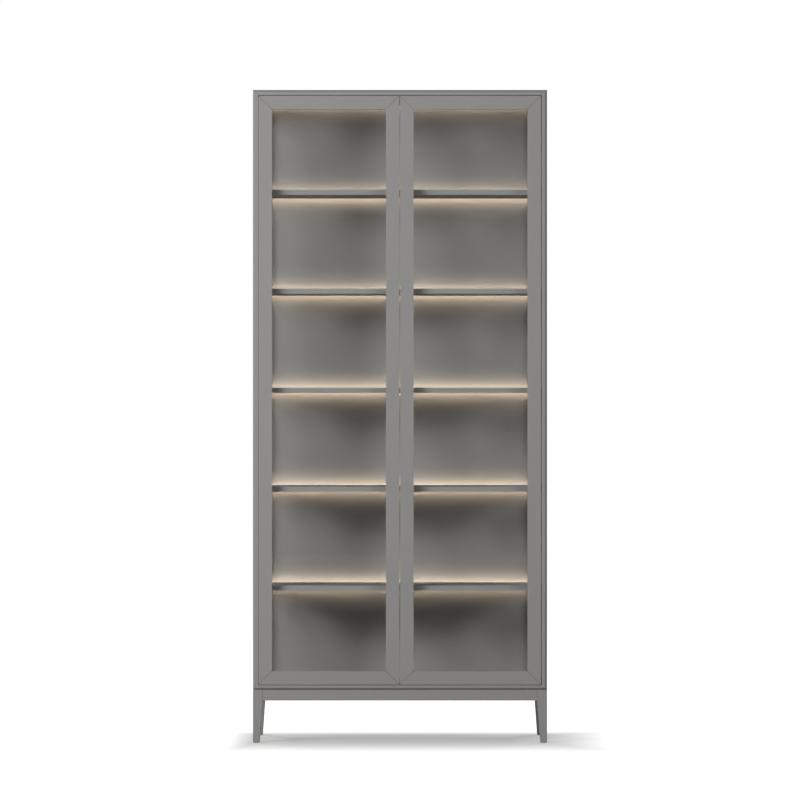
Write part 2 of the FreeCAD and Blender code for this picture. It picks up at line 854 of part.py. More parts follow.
def strike_box(side):
    low_x, high_x = door_span(side, "door_width - latch_inset - strike_size / 2",
                              "door_width - latch_inset + strike_size / 2")
    return ((low_x, "door_rear - strike_thickness", "latch_z - strike_size / 2"),
            (high_x, "door_rear", "latch_z + strike_size / 2"))


def door_glass(side):
    body = new_body(f"{side}_door_glass")
    low_x, high_x = door_span(side, "glass_inset", "door_width - glass_inset")
    add_box(body, (low_x, "glass_front", "door_bottom + glass_inset"),
            (high_x, "glass_rear", "door_top - glass_inset"))


def glass_beads(side):
    """Four square beads behind the glass: the long ones run past the short ones."""
    low_x, high_x = door_span(side, "pocket_inset", "door_width - pocket_inset")
    low_z, high_z = "door_bottom + pocket_inset", "door_top - pocket_inset"
    inner_low_x, inner_high_x = f"{low_x} + rebate_width", f"{high_x} - rebate_width"
    inner_low_z, inner_high_z = f"{low_z} + rebate_width", f"{high_z} - rebate_width"
    boxes = (
        ((low_x, low_z), (inner_low_x, high_z)),
        ((inner_high_x, low_z), (high_x, high_z)),
        ((inner_low_x, low_z), (inner_high_x, inner_low_z)),
        ((inner_low_x, inner_high_z), (inner_high_x, high_z)),
    )
    beads = [
        solid_box("Bead", (low[0], "glass_rear", low[1]), (high[0], "bead_rear", high[1]))
        for low, high in boxes
    ]
    group(f"{side}_door_glass_beads", beads)


def mitre_keys(side):
    keys = [
        solid_box("Key", *key_box(side, far_end, top, "0"))
        for far_end in (False, True) for top in (False, True)
    ]
    group(f"{side}_door_mitre_keys", keys)


def hinge_leaf(side, face, direction, bore):
    """A steel leaf let into a face, with its screw seats and the bore for the pin."""
    plate = solid_box("Leaf_plate", *leaf_box(side, face, direction))
    cutters = [turned("Leaf_bore", hinge_spot(side) + (face,), direction,
                      ((bore, "0", "hinge_leaf_thickness"),))]
    seat = (
        ("screw_head_radius + hole_clearance", "0", "screw_head_height + hole_clearance"),
        ("screw_radius + hole_clearance", "0", "hinge_leaf_thickness"),
    )
    for spot in leaf_screw_spots(side):
        cutters.append(turned("Leaf_seat", spot + (face,), direction, seat))
    return cut_from("Hinge_leaf", plate, cutters)


def door_hinge_leaves(side):
    leaves = [
        hinge_leaf(side, edge, BACK[direction], "hinge_pin_radius + hinge_running_clearance")
        for _, edge, _, direction in DOOR_ENDS
    ]
    group(f"{side}_door_hinge_leaves", leaves)


def door_hinge_screws(side):
    screws = [
        wood_screw("Door_screw", spot + (edge,), BACK[direction])
        for _, edge, _, direction in DOOR_ENDS
        for spot in leaf_screw_spots(side)
    ]
    group(f"{side}_door_hinge_screws", screws)


def door_strike(side):
    piece(solid_box("Strike", *strike_box(side)), f"{side}_door_strike")


def carcass_hinges():
    """The leaves, pins, washers and screws that stay with the carcass."""
    leaves, pins, washers, screws = [], [], [], []
    pin_steps = (("hinge_pin_radius", "-hinge_pin_reach",
                  "hinge_pin_reach + hinge_leaf_thickness"),)
    washer_height = "door_end_gap - washer_clearance"
    for side, _ in SIDES:
        for _, _, face, direction in DOOR_ENDS:
            spot = hinge_spot(side) + (face,)
            leaves.append(hinge_leaf(side, face, direction, "hinge_pin_radius + hole_clearance"))
            pins.append(turned("Hinge_pin", spot, direction, pin_steps))
            disc = turned("Washer_disc", spot, BACK[direction],
                          (("washer_radius", "0", washer_height),))
            bore = turned("Washer_bore", spot, BACK[direction],
                          (("hinge_pin_radius + hole_clearance", "0", washer_height),))
            washers.append(cut_from("Washer", disc, [bore]))
            for place in leaf_screw_spots(side):
                screws.append(wood_screw("Carcass_screw", place + (face,), direction))
    group("carcass_hinge_leaves", leaves)
    group("hinge_pins", pins)
    group("hinge_washers", washers)
    return screws


def door(side):
    for name, edge, _, direction in DOOR_ENDS:
        door_rail(side, name, edge, direction)
    door_stile(side, "hinge", "0", "frame_width")
    door_stile(side, "meeting", "door_width", "door_width - frame_width")
    door_glass(side)
    glass_beads(side)
    mitre_keys(side)
    door_hinge_leaves(side)
    door_hinge_screws(side)
    door_strike(side)


# ------------------------------------------------------------------ push latches
def latch_x(side):
    return along_door(side, "door_width - latch_inset")


def latch_box(side, width, start, length, low):
    """Corners of a box centred on the plunger's line, up to the ceiling."""
    return ((f"{latch_x(side)} - {width} / 2", start, low),
            (f"{latch_x(side)} + {width} / 2", f"{start} + {length}", "ceiling_level"))


def latch_screw_spots(side):
    return [
        (f"{latch_x(side)} {sign} latch_screw_pitch / 2",
         "latch_front + latch_flange_length / 2", "ceiling_level - latch_flange_thickness")
        for sign in "-+"
    ]


def latch_housings():
    """Each housing hangs under the top panel by its flange, bored for its plunger."""
    housings, screws = [], []
    steps = (
        ("screw_head_radius", "-screw_head_height", "screw_head_height"),
        ("screw_radius", "0", "latch_flange_thickness + screw_length"),
    )
    for side, _ in SIDES:
        joined = doc.addObject("Part::MultiFuse", "Latch_block")
        joined.Shapes = [
            solid_box("Latch_barrel", *latch_box(side, "latch_width", "latch_front",
                                                 "latch_length", "latch_low")),
            solid_box("Latch_flange", *latch_box(side, "latch_flange_width", "latch_front",
                                                 "latch_flange_length",
                                                 "ceiling_level - latch_flange_thickness")),
        ]
        cutters = [turned(
            "Latch_bore", (latch_x(side), "latch_front", "latch_z"), "+y",
            (("plunger_radius + hinge_running_clearance", "0", "latch_bore_length"),))]
        for spot in latch_screw_spots(side):
            cutters.append(turned("Latch_screw_hole", spot, "+z", (
                ("screw_radius + hole_clearance", "0", "latch_flange_thickness"),)))
            screws.append(turned("Latch_screw", spot, "+z", steps))
        housings.append(cut_from("Latch_housing", joined, cutters))
    group("latch_housings", housings)
    return screws


def latch_plunger(side):
    steps = (("plunger_radius", "0", "plunger_length"),)
    rod = turned("Plunger", (latch_x(side), "plunger_tip", "latch_z"), "+y", steps)
    piece(rod, f"{side}_latch_plunger")


# ------------------------------------------------------------------ lights
def light_levels():
    """The middle height of the light line at each shelf, and of the one under the top."""
    levels = [f"{shelf_bottom(index)} + shelf_thickness / 2" for index in range(SHELF_COUNT)]
    levels.append("ceiling_level - channel_height / 2")
    return levels


def lights():
    """Aluminium channels that open towards the back panel, with tape and lens."""
    channels, tapes, lenses = [], [], []
    for level in light_levels():
        low_z, high_z = f"{level} - channel_height / 2", f"{level} + channel_height / 2"
        outer = solid_box("Channel_block", ("-channel_half", "channel_front", low_z),
                          ("channel_half", "lens_face", high_z))
        hollow = solid_box("Channel_hollow",
                           ("-channel_half", "channel_front + channel_wall",
                            f"{low_z} + channel_wall"),
                           ("channel_half", "lens_face", f"{high_z} - channel_wall"))
        channels.append(cut_from("Channel", outer, [hollow]))
        tapes.append(solid_box(
            "Tape",
            ("-channel_half + channel_wall", "channel_front + channel_wall",
             f"{level} - tape_height / 2"),
            ("channel_half - channel_wall", "channel_front + channel_wall + tape_thickness",
             f"{level} + tape_height / 2")))
        lenses.append(solid_box(
            "Lens",
            ("-channel_half", "lens_face - lens_thickness", f"{low_z} + channel_wall"),
            ("channel_half", "lens_face", f"{high_z} - channel_wall")))
    group("light_channels", channels)
    group("light_tapes", tapes)
    group("light_lenses", lenses)


# ------------------------------------------------------------------ LED driver
def inlet_box():
    return (("-driver_half", "driver_middle - inlet_width / 2",
             "inlet_middle - inlet_height / 2"),
            ("-driver_half + inlet_length", "driver_middle + inlet_width / 2",
             "inlet_middle + inlet_height / 2"))


def driver_case():
    """An open plastic box whose mouth is closed by the cover."""
    body = new_body("driver_case")
    add_box(body, ("-driver_half", "driver_front", "driver_low"),
            ("driver_half", "driver_rear", "driver_lid_level"))
    chamfer(body, "driver_wall / 2", lambda point: near(point.z, "driver_low"))
    cut_box(body,
            ("-driver_half + driver_wall", "driver_front + driver_wall",
             "driver_low + driver_wall"),
            ("driver_half - driver_wall", "driver_rear - driver_wall", "driver_lid_level"))
    low, high = inlet_box()
    cut_box(body, low, ("-driver_half + driver_wall", high[1], high[2]))


def driver_cover():
    """The lid under the bottom panel, with an ear at each end for a screw."""
    body = new_body("driver_cover")
    add_box(body, ("-driver_half - driver_ear", "driver_front", "driver_lid_level"),
            ("driver_half + driver_ear", "driver_rear", "carcass_bottom"))
    for spot in driver_screw_spots():
        cut_hole(body, spot, "+z", "screw_radius + hole_clearance", "driver_wall")


def driver_screw_spots():
    return [
        (f"{hand} * (driver_half + driver_ear / 2)", "driver_middle", "driver_lid_level")
        for _, hand in SIDES
    ]


def driver_inlet():
    """The two-pin mains socket in the end of the case."""
    block = solid_box("Inlet_block", *inlet_box())
    recesses = [
        turned("Inlet_recess",
               ("-driver_half", f"driver_middle {sign} inlet_pin_pitch / 2", "inlet_middle"),
               "+x", (("inlet_pin_radius", "0", "inlet_pin_depth"),))
        for sign in "-+"
    ]
    piece(cut_from("Inlet", block, recesses), "driver_inlet")


def driver_screws():
    steps = (
        ("screw_head_radius", "-screw_head_height", "screw_head_height"),
        ("screw_radius", "0", "screw_length"),
    )
    return [turned("Driver_screw", spot, "+z", steps) for spot in driver_screw_spots()]


# ------------------------------------------------------------------ wall plates
def wall_plates():
    """Steel plates let into the rear edges of the side panels, for two wall screws."""
    plates, screws = [], []
    seat = (
        ("screw_head_radius + hole_clearance", "0", "screw_head_height + hole_clearance"),
        ("screw_radius + hole_clearance", "0", "wall_plate_thickness"),
    )
    for _, hand in SIDES:
        low_x, high_x = span(hand, "wall_plate_x - wall_plate_width / 2",
                             "wall_plate_x + wall_plate_width / 2")
        block = solid_box(
            "Wall_plate_block",
            (low_x, "rear - wall_plate_thickness", "wall_plate_z - wall_plate_height / 2"),
            (high_x, "rear", "wall_plate_z + wall_plate_height / 2"))
        spot = (f"{hand} * wall_plate_x", "rear")
        cutters = [turned("Wall_hole", spot + ("wall_plate_z",), "-y",
                          (("wall_hole_radius", "0", "wall_plate_thickness"),))]
        for level in WALL_SCREW_LEVELS:
            cutters.append(turned("Wall_seat", spot + (level,), "-y", seat))
            screws.append(wood_screw("Wall_plate_screw", spot + (level,), "-y"))
        plates.append(cut_from("Wall_plate", block, cutters))
    group("wall_plates", plates)
    return screws


# ------------------------------------------------------------------ assembly
for side, hand in SIDES:
    side_panel(side, hand)
    side_glass(side, hand)
side_glass_beads()
top_panel()
bottom_panel()
back_panel()
for index in range(SHELF_COUNT):
    shelf(index)
shelf_pins()
dowels()
for side, hand in SIDES:
    for end_name, end in ENDS:
        leg(side, hand, end_name, end)
for end_name, end in ENDS:
    long_apron(end_name, end)
for side, hand in SIDES:
    side_apron(side, hand)
corner_braces()
brace_screws()
leg_glides()
wood_screws = carcass_hinges()
for side, _ in SIDES:
    door(side)
    latch_plunger(side)
wood_screws += latch_housings()
lights()
driver_case()
driver_cover()
driver_inlet()
wood_screws += driver_screws()
wood_screws += wall_plates()
group("wood_screws", wood_screws)

doc.recompute()

# ------------------------------------------------------------------ checks and files
for item in doc.Objects:
    if {"Invalid", "Error"} & set(item.State):
        raise RuntimeError(f"{item.Label} failed: {item.State}")
for item in doc.Objects:
    if item.TypeId.startswith("PartDesign::Subtractive") or item.TypeId == "PartDesign::Pocket":
        removed = item.BaseFeature.Shape.Volume - item.Shape.Volume
        if removed < 0.01:
            raise RuntimeError(f"{item.Name} in {item.getParentGeoFeatureGroup().Label} cuts nothing")
for item in parts:
    if item.Shape.isNull() or not item.Shape.isValid():
        raise RuntimeError(f"{item.Label} has no valid shape")

os.makedirs("parts", exist_ok=True)
for item in parts:
    item.Shape.exportStep(f"parts/{item.Label}.step")
print(len(parts), "sub-parts written")
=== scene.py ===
"""Finishing pieces, finishes, lamps and camera for the glazed bookcase."""
import json
import math
from contextlib import contextmanager
from functools import cache, partial

import bmesh
import bpy
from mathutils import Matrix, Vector


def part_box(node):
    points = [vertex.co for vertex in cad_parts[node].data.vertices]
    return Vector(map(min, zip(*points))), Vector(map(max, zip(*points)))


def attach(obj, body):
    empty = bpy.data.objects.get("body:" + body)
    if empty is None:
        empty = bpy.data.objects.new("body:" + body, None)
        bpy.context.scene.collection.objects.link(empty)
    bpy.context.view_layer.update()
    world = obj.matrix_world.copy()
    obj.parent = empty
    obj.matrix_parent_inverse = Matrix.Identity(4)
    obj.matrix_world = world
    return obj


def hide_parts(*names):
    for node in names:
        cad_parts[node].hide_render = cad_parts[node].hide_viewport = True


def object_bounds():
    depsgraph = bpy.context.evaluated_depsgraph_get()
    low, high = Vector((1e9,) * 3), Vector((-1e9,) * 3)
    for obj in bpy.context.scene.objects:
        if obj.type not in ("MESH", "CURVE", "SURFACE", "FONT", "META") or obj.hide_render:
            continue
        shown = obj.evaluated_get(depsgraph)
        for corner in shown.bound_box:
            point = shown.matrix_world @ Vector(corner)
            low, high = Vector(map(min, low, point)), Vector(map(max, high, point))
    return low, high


bl_info = {
    "name": "Glazed Bookcase",
    "version": (1, 0, 0),
    "blender": (4, 5, 0),
    "location": "3D View > Sidebar > Bookcase",
    "description": "Boards, doors, panes, legs, lit shelves and stage of a glazed bookcase",
    "category": "Object",
}

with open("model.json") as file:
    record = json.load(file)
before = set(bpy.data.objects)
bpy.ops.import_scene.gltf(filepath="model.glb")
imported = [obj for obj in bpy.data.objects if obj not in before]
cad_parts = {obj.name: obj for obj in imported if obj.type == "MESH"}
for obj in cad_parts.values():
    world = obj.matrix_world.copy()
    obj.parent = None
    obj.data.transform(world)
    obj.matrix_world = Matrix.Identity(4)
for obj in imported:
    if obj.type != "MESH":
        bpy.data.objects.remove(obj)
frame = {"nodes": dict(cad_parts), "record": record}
CAD_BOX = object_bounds()
MM = 0.001
SIDES = ("left", "right")
SHELVES = [f"shelf_{index}" for index in range(1, 6)]


def corners(node):
    """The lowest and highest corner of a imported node."""
    low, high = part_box(node)
    return Vector(low), Vector(high)


LEFT_BOARD = corners("left_side_panel")
TOP_BOARD = corners("top_panel")
BOTTOM_BOARD = corners("bottom_panel")
LEFT_PANE = corners("left_side_glass")
LEFT_BEADS = corners("side_glass_beads")
DOOR_PANE = corners("left_door_glass")
DOOR_BEADS = corners("left_door_glass_beads")
HINGE_STILE = corners("left_door_hinge_stile")
MEETING_STILE = corners("left_door_meeting_stile")
TOP_RAIL = corners("left_door_top_rail")
BOTTOM_RAIL = corners("left_door_bottom_rail")
LEAVES = corners("left_door_hinge_leaves")
CARCASS_LEAVES = corners("carcass_hinge_leaves")
WALL_PLATES = corners("wall_plates")
STRIKE = corners("left_door_strike")
LEG = corners("front_left_leg")
FRONT_APRON = corners("front_apron")

FRONT = LEFT_BOARD[0].y
REAR = LEFT_BOARD[1].y
DOOR_MIRROR = (HINGE_STILE[0].x + corners("right_door_hinge_stile")[1].x) / 2
REBATE = HINGE_STILE[1].x - DOOR_BEADS[0].x

SLACK = 0.02 * MM          # how far a point may lie off a plane that it is looked for in
MITRE_SLACK = 0.05 * MM    # the same for a mitre
BY_MITRE = 1.6             # arrises nearer a mitre than this many half grooves stay sharp
LEAF_LENGTH = 50 * MM      # seats of the hinge leaves
LEAF_DEPTH = 2.5 * MM
PLATE_WIDTH = 14 * MM      # seats of the wall plates, and the pockets behind them
POCKET_DEPTH = 12 * MM
POCKET_AHEAD = 2 * MM      # from the front of a plate to the middle of its pocket
BEAD_EASE = 0.2 * MM
TOP_LIGHT = 0.6            # share of the strength that the light under the top has

LAMP_SIZE = 1.6
KEY_SPOT = (-3.13, -4.82, 3.42)
LOW_SPOT = (-4.36, -4.21, 2.39)
FILL_SPOT = (4.36, -4.21, 2.39)
REAR_SPOTS = ((-3.45, 4.11, 4.2), (3.45, 4.11, 4.2))

FLOOR_SIZE = 40.0
FLOOR_GREY = (0.36, 0.357, 0.352, 1.0)
# the painted shade round the footprint, which darkens the floor's white glow: where it starts
# and ends in front, how dark it is, and how much sooner it ends on the other sides
PAINTED_SHADE_START, PAINTED_SHADE_END, PAINTED_SHADE_DARKEST = -0.15, 0.7, 0.33
PAINTED_SHADE_RIGHT, PAINTED_SHADE_LEFT, PAINTED_SHADE_REAR = 2.0, 5.0, 3.0
# start, end, low and high of what a pane mirrors: the floor and the room, from the dark
# side in front to the light side behind
MIRRORED_FLOOR = (-3.0, -0.3, 0.03, 0.4)
MIRRORED_ROOM = (0.45, 0.95, 0.05, 1.0)
SIDE_LIGHT = (-1.0, 1.0, 1.35, 0.65)   # the same of the soft light, from left to right
WHITE = (1.0, 1.0, 1.0, 1.0)
PANE_TINT = (0.976, 0.98, 0.977, 1.0)  # of lamps and soft light that come through a pane


# ---------------- settings
def number(name, description, default, largest=1.0, least=0.0, **kind):
    return bpy.props.FloatProperty(name=name, description=description, default=default,
                                   min=least, max=largest, **kind)


def length(name, description, default, largest):
    return number(name, description, default, largest, unit="LENGTH", subtype="DISTANCE",
                  precision=4)


def power(name, description, default):
    return number(name, description, default, 2000.0, unit="POWER")


def colour(name, description, default):
    return bpy.props.FloatVectorProperty(name=name, description=description, default=default,
                                         min=0.0, max=1.0, size=3, subtype="COLOR")


class BOOKCASE_PG_sizes(bpy.types.PropertyGroup):
    outer_chamfer: length("Outer chamfer", "Chamfer round the front of the carcass",
                          7 * MM, 9 * MM)
    board_ease: length("Board ease", "Rounding of the arrises of boards", 0.3 * MM, 2 * MM)
    door_ease: length("Door ease", "Rounding of the arrises of the door members",
                      0.2 * MM, 2 * MM)
    mitre_groove: length("Mitre groove", "Half width of the fine groove along each mitre",
                         1.5 * MM, 2 * MM)
    leg_ease: length("Leg ease", "Rounding of the upright arrises of the legs",
                     1.8 * MM, 4 * MM)
    foot_width: length("Foot width", "Width of a leg where it meets its glide",
                       23 * MM, 33 * MM)
    pane_arris: length("Pane arris", "Ground arris round each pane", 0.5 * MM, 1.5 * MM)
    bead_chamfer: length("Bead chamfer", "Chamfer on the free arris of each glass bead",
                         1.5 * MM, 4 * MM)
    wall_pocket: length("Wall pocket", "Radius of the pocket behind each wall plate",
                        6 * MM, 6.5 * MM)


class BOOKCASE_PG_finishes(bpy.types.PropertyGroup):
    lacquer: colour("Lacquer", "Colour of the lacquer outside", (0.290, 0.282, 0.274))
    # painted light: the same lacquer as outside, set lighter inside so that the dim bays read
    # brighter
    inside_lacquer_painted_lighter: colour("Inside lacquer painted lighter", "Colour of the shelves and the back panel",
                           (0.320, 0.312, 0.305))
    lacquer_roughness: number("Lacquer roughness", "Roughness of the matt lacquer", 0.50)
    glass_tint: colour("Glass tint", "Tint of the clear float glass", (0.972, 0.978, 0.974))
    beech: colour("Beech", "Colour of the bare beech", (0.62, 0.46, 0.30))
    light_colour: colour("Light colour", "Colour of the lit lens", (1.0, 0.81, 0.61))
    light_strength: number("Light strength", "Strength of the lit lens", 12.2, 60.0)


class BOOKCASE_PG_stage(bpy.types.PropertyGroup):
    key_power: power("Key lamp", "Power of the high lamp on the left", 112.0)
    low_power: power("Low lamp", "Power of the lower lamp on the left", 174.0)
    fill_power: power("Fill lamp", "Power of the lamp on the right", 97.0)
    rear_power: power("Rear lamps", "Power of each of the two lamps behind", 130.0)
    surround: number("Surround", "Strength of the light from all round", 0.02, 2.0)
    lens: number("Focal length", "Focal length of the camera", 215.8, 500.0, 20.0,
                 unit="CAMERA")
    distance: number("Camera distance", "Distance from the camera to the middle", 16.5,
                     50.0, 4.0, unit="LENGTH")
    eye_level: number("Camera height", "Height of the camera above the floor", 1.1657,
                      10.0, unit="LENGTH")


def sizes():
    return bpy.context.scene.bookcase_sizes


def finishes():
    return bpy.context.scene.bookcase_finishes


# ---------------- workbench
def clear_selection():
    if bpy.context.mode != "OBJECT":
        bpy.ops.object.mode_set(mode="OBJECT")
    bpy.ops.object.select_all(action="DESELECT")


def take(piece):
    """Make one piece the selected and active object."""
    clear_selection()
    piece.select_set(True)
    bpy.context.view_layer.objects.active = piece


@contextmanager
def editing(piece):
    take(piece)
    bpy.ops.object.mode_set(mode="EDIT")
    try:
        yield piece
    finally:
        bpy.ops.object.mode_set(mode="OBJECT")


def block(name, low, high):
    """A block of wood, metal or glass between two corners, its place in its mesh."""
    clear_selection()
    low, high = Vector(low), Vector(high)
    bpy.ops.mesh.primitive_cube_add(size=1, location=(low + high) / 2, scale=high - low)
    piece = bpy.context.object
    piece.name = piece.data.name = name
    bpy.ops.object.transform_apply(location=True, rotation=True, scale=True)
    return piece


def add_block(low, high):
    """Another block in the mesh being edited; the new block is left selected."""
    low, high = Vector(low), Vector(high)
    bpy.ops.mesh.select_all(action="DESELECT")
    bpy.ops.mesh.primitive_cube_add(size=1, location=(low + high) / 2, scale=high - low)


def pick(piece, kind, test):
    """Select the faces, edges or points of the mesh being edited that pass a test."""
    bpy.ops.mesh.select_mode(type=kind)
    bpy.ops.mesh.select_all(action="DESELECT")
    mesh = bmesh.from_edit_mesh(piece.data)
    mesh.normal_update()
    parts = {"FACE": mesh.faces, "EDGE": mesh.edges, "VERT": mesh.verts}[kind]
    found = [part for part in parts if test(part)]
    if not found:
        raise RuntimeError(f"{piece.name}: nothing to select")
    for part in found:
        part.select_set(True)
    mesh.select_flush_mode()
    bmesh.update_edit_mesh(piece.data)


def near(value, target, slack=SLACK):
    return abs(value - target) < slack


def on_plane(axis, level):
    """A test for faces, edges or points that lie wholly in the plane across an axis."""
    def test(part):
        points = [part] if hasattr(part, "co") else part.verts
        return all(near(point.co["xyz".index(axis)], level) for point in points)
    return test


def both(*tests):
    return lambda part: all(test(part) for test in tests)


def either(*tests):
    return lambda part: any(test(part) for test in tests)


def facing(direction):
    direction = Vector(direction).normalized()
    return lambda face: face.normal.dot(direction) > 0.999


def within(low, high):
    """A test for parts whose middle lies between two corners."""
    def test(part):
        points = [point.co for point in part.verts]
        middle = sum(points, Vector()) / len(points)
        return all(a - SLACK <= value <= b + SLACK for a, value, b in zip(low, middle, high))
    return test


def sharp(edge):
    """True for an arris, where two faces meet at more than 25 degrees."""
    return len(edge.link_faces) == 2 and edge.calc_face_angle(0) > math.radians(25)


def bevel_picked(width, steps=1):
    bpy.ops.mesh.bevel(offset_type="OFFSET", offset=width, segments=steps, profile=0.5,
                       affect="EDGES", clamp_overlap=True, miter_outer="SHARP")


def ease(piece, width, keep=None, steps=2):
    """Round the arrises of a piece, apart from those that keep() holds sharp."""
    if width <= 0:
        return
    with editing(piece):
        pick(piece, "EDGE", lambda edge: sharp(edge) and not (keep and keep(edge)))
        bevel_picked(width, steps)


def split(point, normal, **cut):
    """Cut the whole mesh being edited along a plane."""
    bpy.ops.mesh.select_all(action="SELECT")
    bpy.ops.mesh.bisect(plane_co=point, plane_no=normal, **cut)


def push_out(vector):
    bpy.ops.mesh.extrude_region_move(TRANSFORM_OT_translate={"value": vector})


def close_up(piece):
    """Merge doubled points and turn every face outwards."""
    with editing(piece):
        bpy.ops.mesh.select_all(action="SELECT")
        bpy.ops.mesh.remove_doubles(threshold=0.002 * MM)
        bpy.ops.mesh.normals_make_consistent(inside=False)


def sink(piece, *cutters):
    """Cut the seats of let-in fittings out of a piece, then clear the cutters away."""
    for cutter in cutters:
        take(piece)
        cut = piece.modifiers.new("Seat", "BOOLEAN")
        cut.operation = "DIFFERENCE"
        cut.solver = "EXACT"
        cut.object = cutter
        bpy.ops.object.modifier_apply(modifier=cut.name)
        bpy.data.objects.remove(cutter)


def twin_of(piece, name):
    """A copy of a piece with its own mesh."""
    twin = piece.copy()
    twin.data = piece.data.copy()
    twin.name = twin.data.name = name
    bpy.context.collection.objects.link(twin)
    return twin


def mirrored(piece, name, across=0.0, axis=0):
    """A copy of a piece, turned over at an upright plane across X or Y."""
    twin = twin_of(piece, name)
    scale, centre = [1, 1, 1], [0, 0, 0]
    scale[axis], centre[axis] = -1, across
    with editing(twin):
        bpy.ops.mesh.select_all(action="SELECT")
        bpy.ops.transform.resize(value=scale, center_override=centre)
        bpy.ops.mesh.normals_make_consistent(inside=False)
    return twin


def moved(piece, name, step):
    """A copy of a piece, moved by a step."""
    twin = twin_of(piece, name)
    with editing(twin):
        bpy.ops.mesh.select_all(action="SELECT")
        bpy.ops.transform.translate(value=step)
    return twin


def fit(piece, finish, body, *nodes):
    """Give a piece its finish and set it on its body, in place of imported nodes."""
    piece.data.materials.clear()
    piece.data.materials.append(FINISHES[finish]())
    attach(piece, body)
    if nodes:
        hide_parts(*nodes)


# ---------------- finishes
def fresh_material(name):
    """A new material with its nodes, links and plain shader."""
    material = bpy.data.materials.new(name)
    material.use_nodes = True
    nodes = material.node_tree.nodes
    return material, nodes, material.node_tree.links, nodes["Principled BSDF"]


def new_group(name, inputs, outputs):
    group = bpy.data.node_groups.new(name, "ShaderNodeTree")
    for label, kind, default in inputs:
        socket = group.interface.new_socket(label, in_out="INPUT", socket_type=kind)
        socket.default_value = default
    for label, kind in outputs:
        group.interface.new_socket(label, in_out="OUTPUT", socket_type=kind)
    return group, group.nodes.new("NodeGroupInput"), group.nodes.new("NodeGroupOutput")


def feed(links, value, socket):
    """Give a socket a value, or join it to another socket."""
    if isinstance(value, bpy.types.NodeSocket):
        links.new(value, socket)
    else:
        socket.default_value = value


def math_node(nodes, links, operation, first, second):
    node = nodes.new("ShaderNodeMath")
    node.operation = operation
    for socket, value in zip(node.inputs, (first, second)):
        feed(links, value, socket)
    return node.outputs[0]


def object_place(nodes):
    return nodes.new("ShaderNodeTexCoord").outputs["Object"]


def axes_of(nodes, links, vector):
    """The X, Y and Z outputs of a vector taken apart."""
    node = nodes.new("ShaderNodeSeparateXYZ")
    links.new(vector, node.inputs[0])
    return node.outputs


def noise(nodes, links, vector, scale, detail=2.0, roughness=0.5):
    node = nodes.new("ShaderNodeTexNoise")
    for label, value in (("Vector", vector), ("Scale", scale), ("Detail", detail),
                         ("Roughness", roughness)):
        feed(links, value, node.inputs[label])
    return node.outputs["Fac"]


def shaded(nodes, links, base, factor):
    """A colour made lighter or darker by a factor near 1."""
    node = nodes.new("ShaderNodeVectorMath")
    node.operation = "SCALE"
    feed(links, base, node.inputs[0])
    links.new(factor, node.inputs["Scale"])
    return node.outputs[0]


def mixed(nodes, links, factor, first, second):
    """Two colours mixed by a factor."""
    node = nodes.new("ShaderNodeMix")
    node.data_type = "RGBA"
    links.new(factor, node.inputs["Factor"])
    colours = [socket for socket in node.inputs if socket.type == "RGBA"]
    for socket, value in zip(colours, (first, second)):
        feed(links, value, socket)
    return next(socket for socket in node.outputs if socket.type == "RGBA")


def ramp(nodes, links, value, start, end, low, high, kind="LINEAR"):
    """A value between start and end mapped to low and high, and held beyond them."""
    node = nodes.new("ShaderNodeMapRange")
    node.interpolation_type = kind
    for label, level in (("Value", value), ("From Min", start), ("From Max", end),
                         ("To Min", low), ("To Max", high)):
        feed(links, level, node.inputs[label])
    return node.outputs["Result"]


def spread(nodes, links, value, low, high):
    """A 0 to 1 value mapped between two limits."""
    return ramp(nodes, links, value, 0.0, 1.0, low, high)


def around(nodes, links, middle, reach):
    """The limits that lie a reach below and above a middle value."""
    return [math_node(nodes, links, operation, middle, reach)
            for operation in ("SUBTRACT", "ADD")]


def clear_where(nodes, links, factor, shader, tint=WHITE):
    """Let a clear shader take over from the plain one where a factor is 1."""
    clear = nodes.new("ShaderNodeBsdfTransparent")
    clear.inputs["Color"].default_value = tint
    mix = nodes.new("ShaderNodeMixShader")
    for socket, value in zip(mix.inputs, (factor, shader.outputs[0], clear.outputs[0])):
        links.new(value, socket)
    links.new(mix.outputs[0], nodes["Material Output"].inputs["Surface"])


@cache
def coat_group():
    """Sprayed or moulded coat: faint mottling, uneven gloss and a fine peel."""
    group, start, end = new_group(
        "Coat surface",
        (("Colour", "NodeSocketColor", (0.3, 0.3, 0.3, 1)),
         ("Mottle", "NodeSocketFloat", 0.03),
         ("Mottle Scale", "NodeSocketFloat", 5.0),
         ("Roughness", "NodeSocketFloat", 0.45),
         ("Gloss Spread", "NodeSocketFloat", 0.04),
         ("Peel Scale", "NodeSocketFloat", 700.0)),
        (("Colour", "NodeSocketColor"), ("Roughness", "NodeSocketFloat"),
         ("Peel", "NodeSocketFloat")))
    nodes, links = group.nodes, group.links
    place = object_place(nodes)
    cloud = noise(nodes, links, place, start.outputs["Mottle Scale"], 3.0, 0.55)
    half = math_node(nodes, links, "MULTIPLY", start.outputs["Mottle"], 0.5)
    tone = spread(nodes, links, cloud, *around(nodes, links, 1.0, half))
    links.new(shaded(nodes, links, start.outputs["Colour"], tone), end.inputs["Colour"])
    gloss = noise(nodes, links, place, 26.0, 2.0, 0.6)
    limits = around(nodes, links, start.outputs["Roughness"], start.outputs["Gloss Spread"])
    links.new(spread(nodes, links, gloss, *limits), end.inputs["Roughness"])
    peel = noise(nodes, links, place, start.outputs["Peel Scale"], 1.0, 0.4)
    links.new(peel, end.inputs["Peel"])
    return group


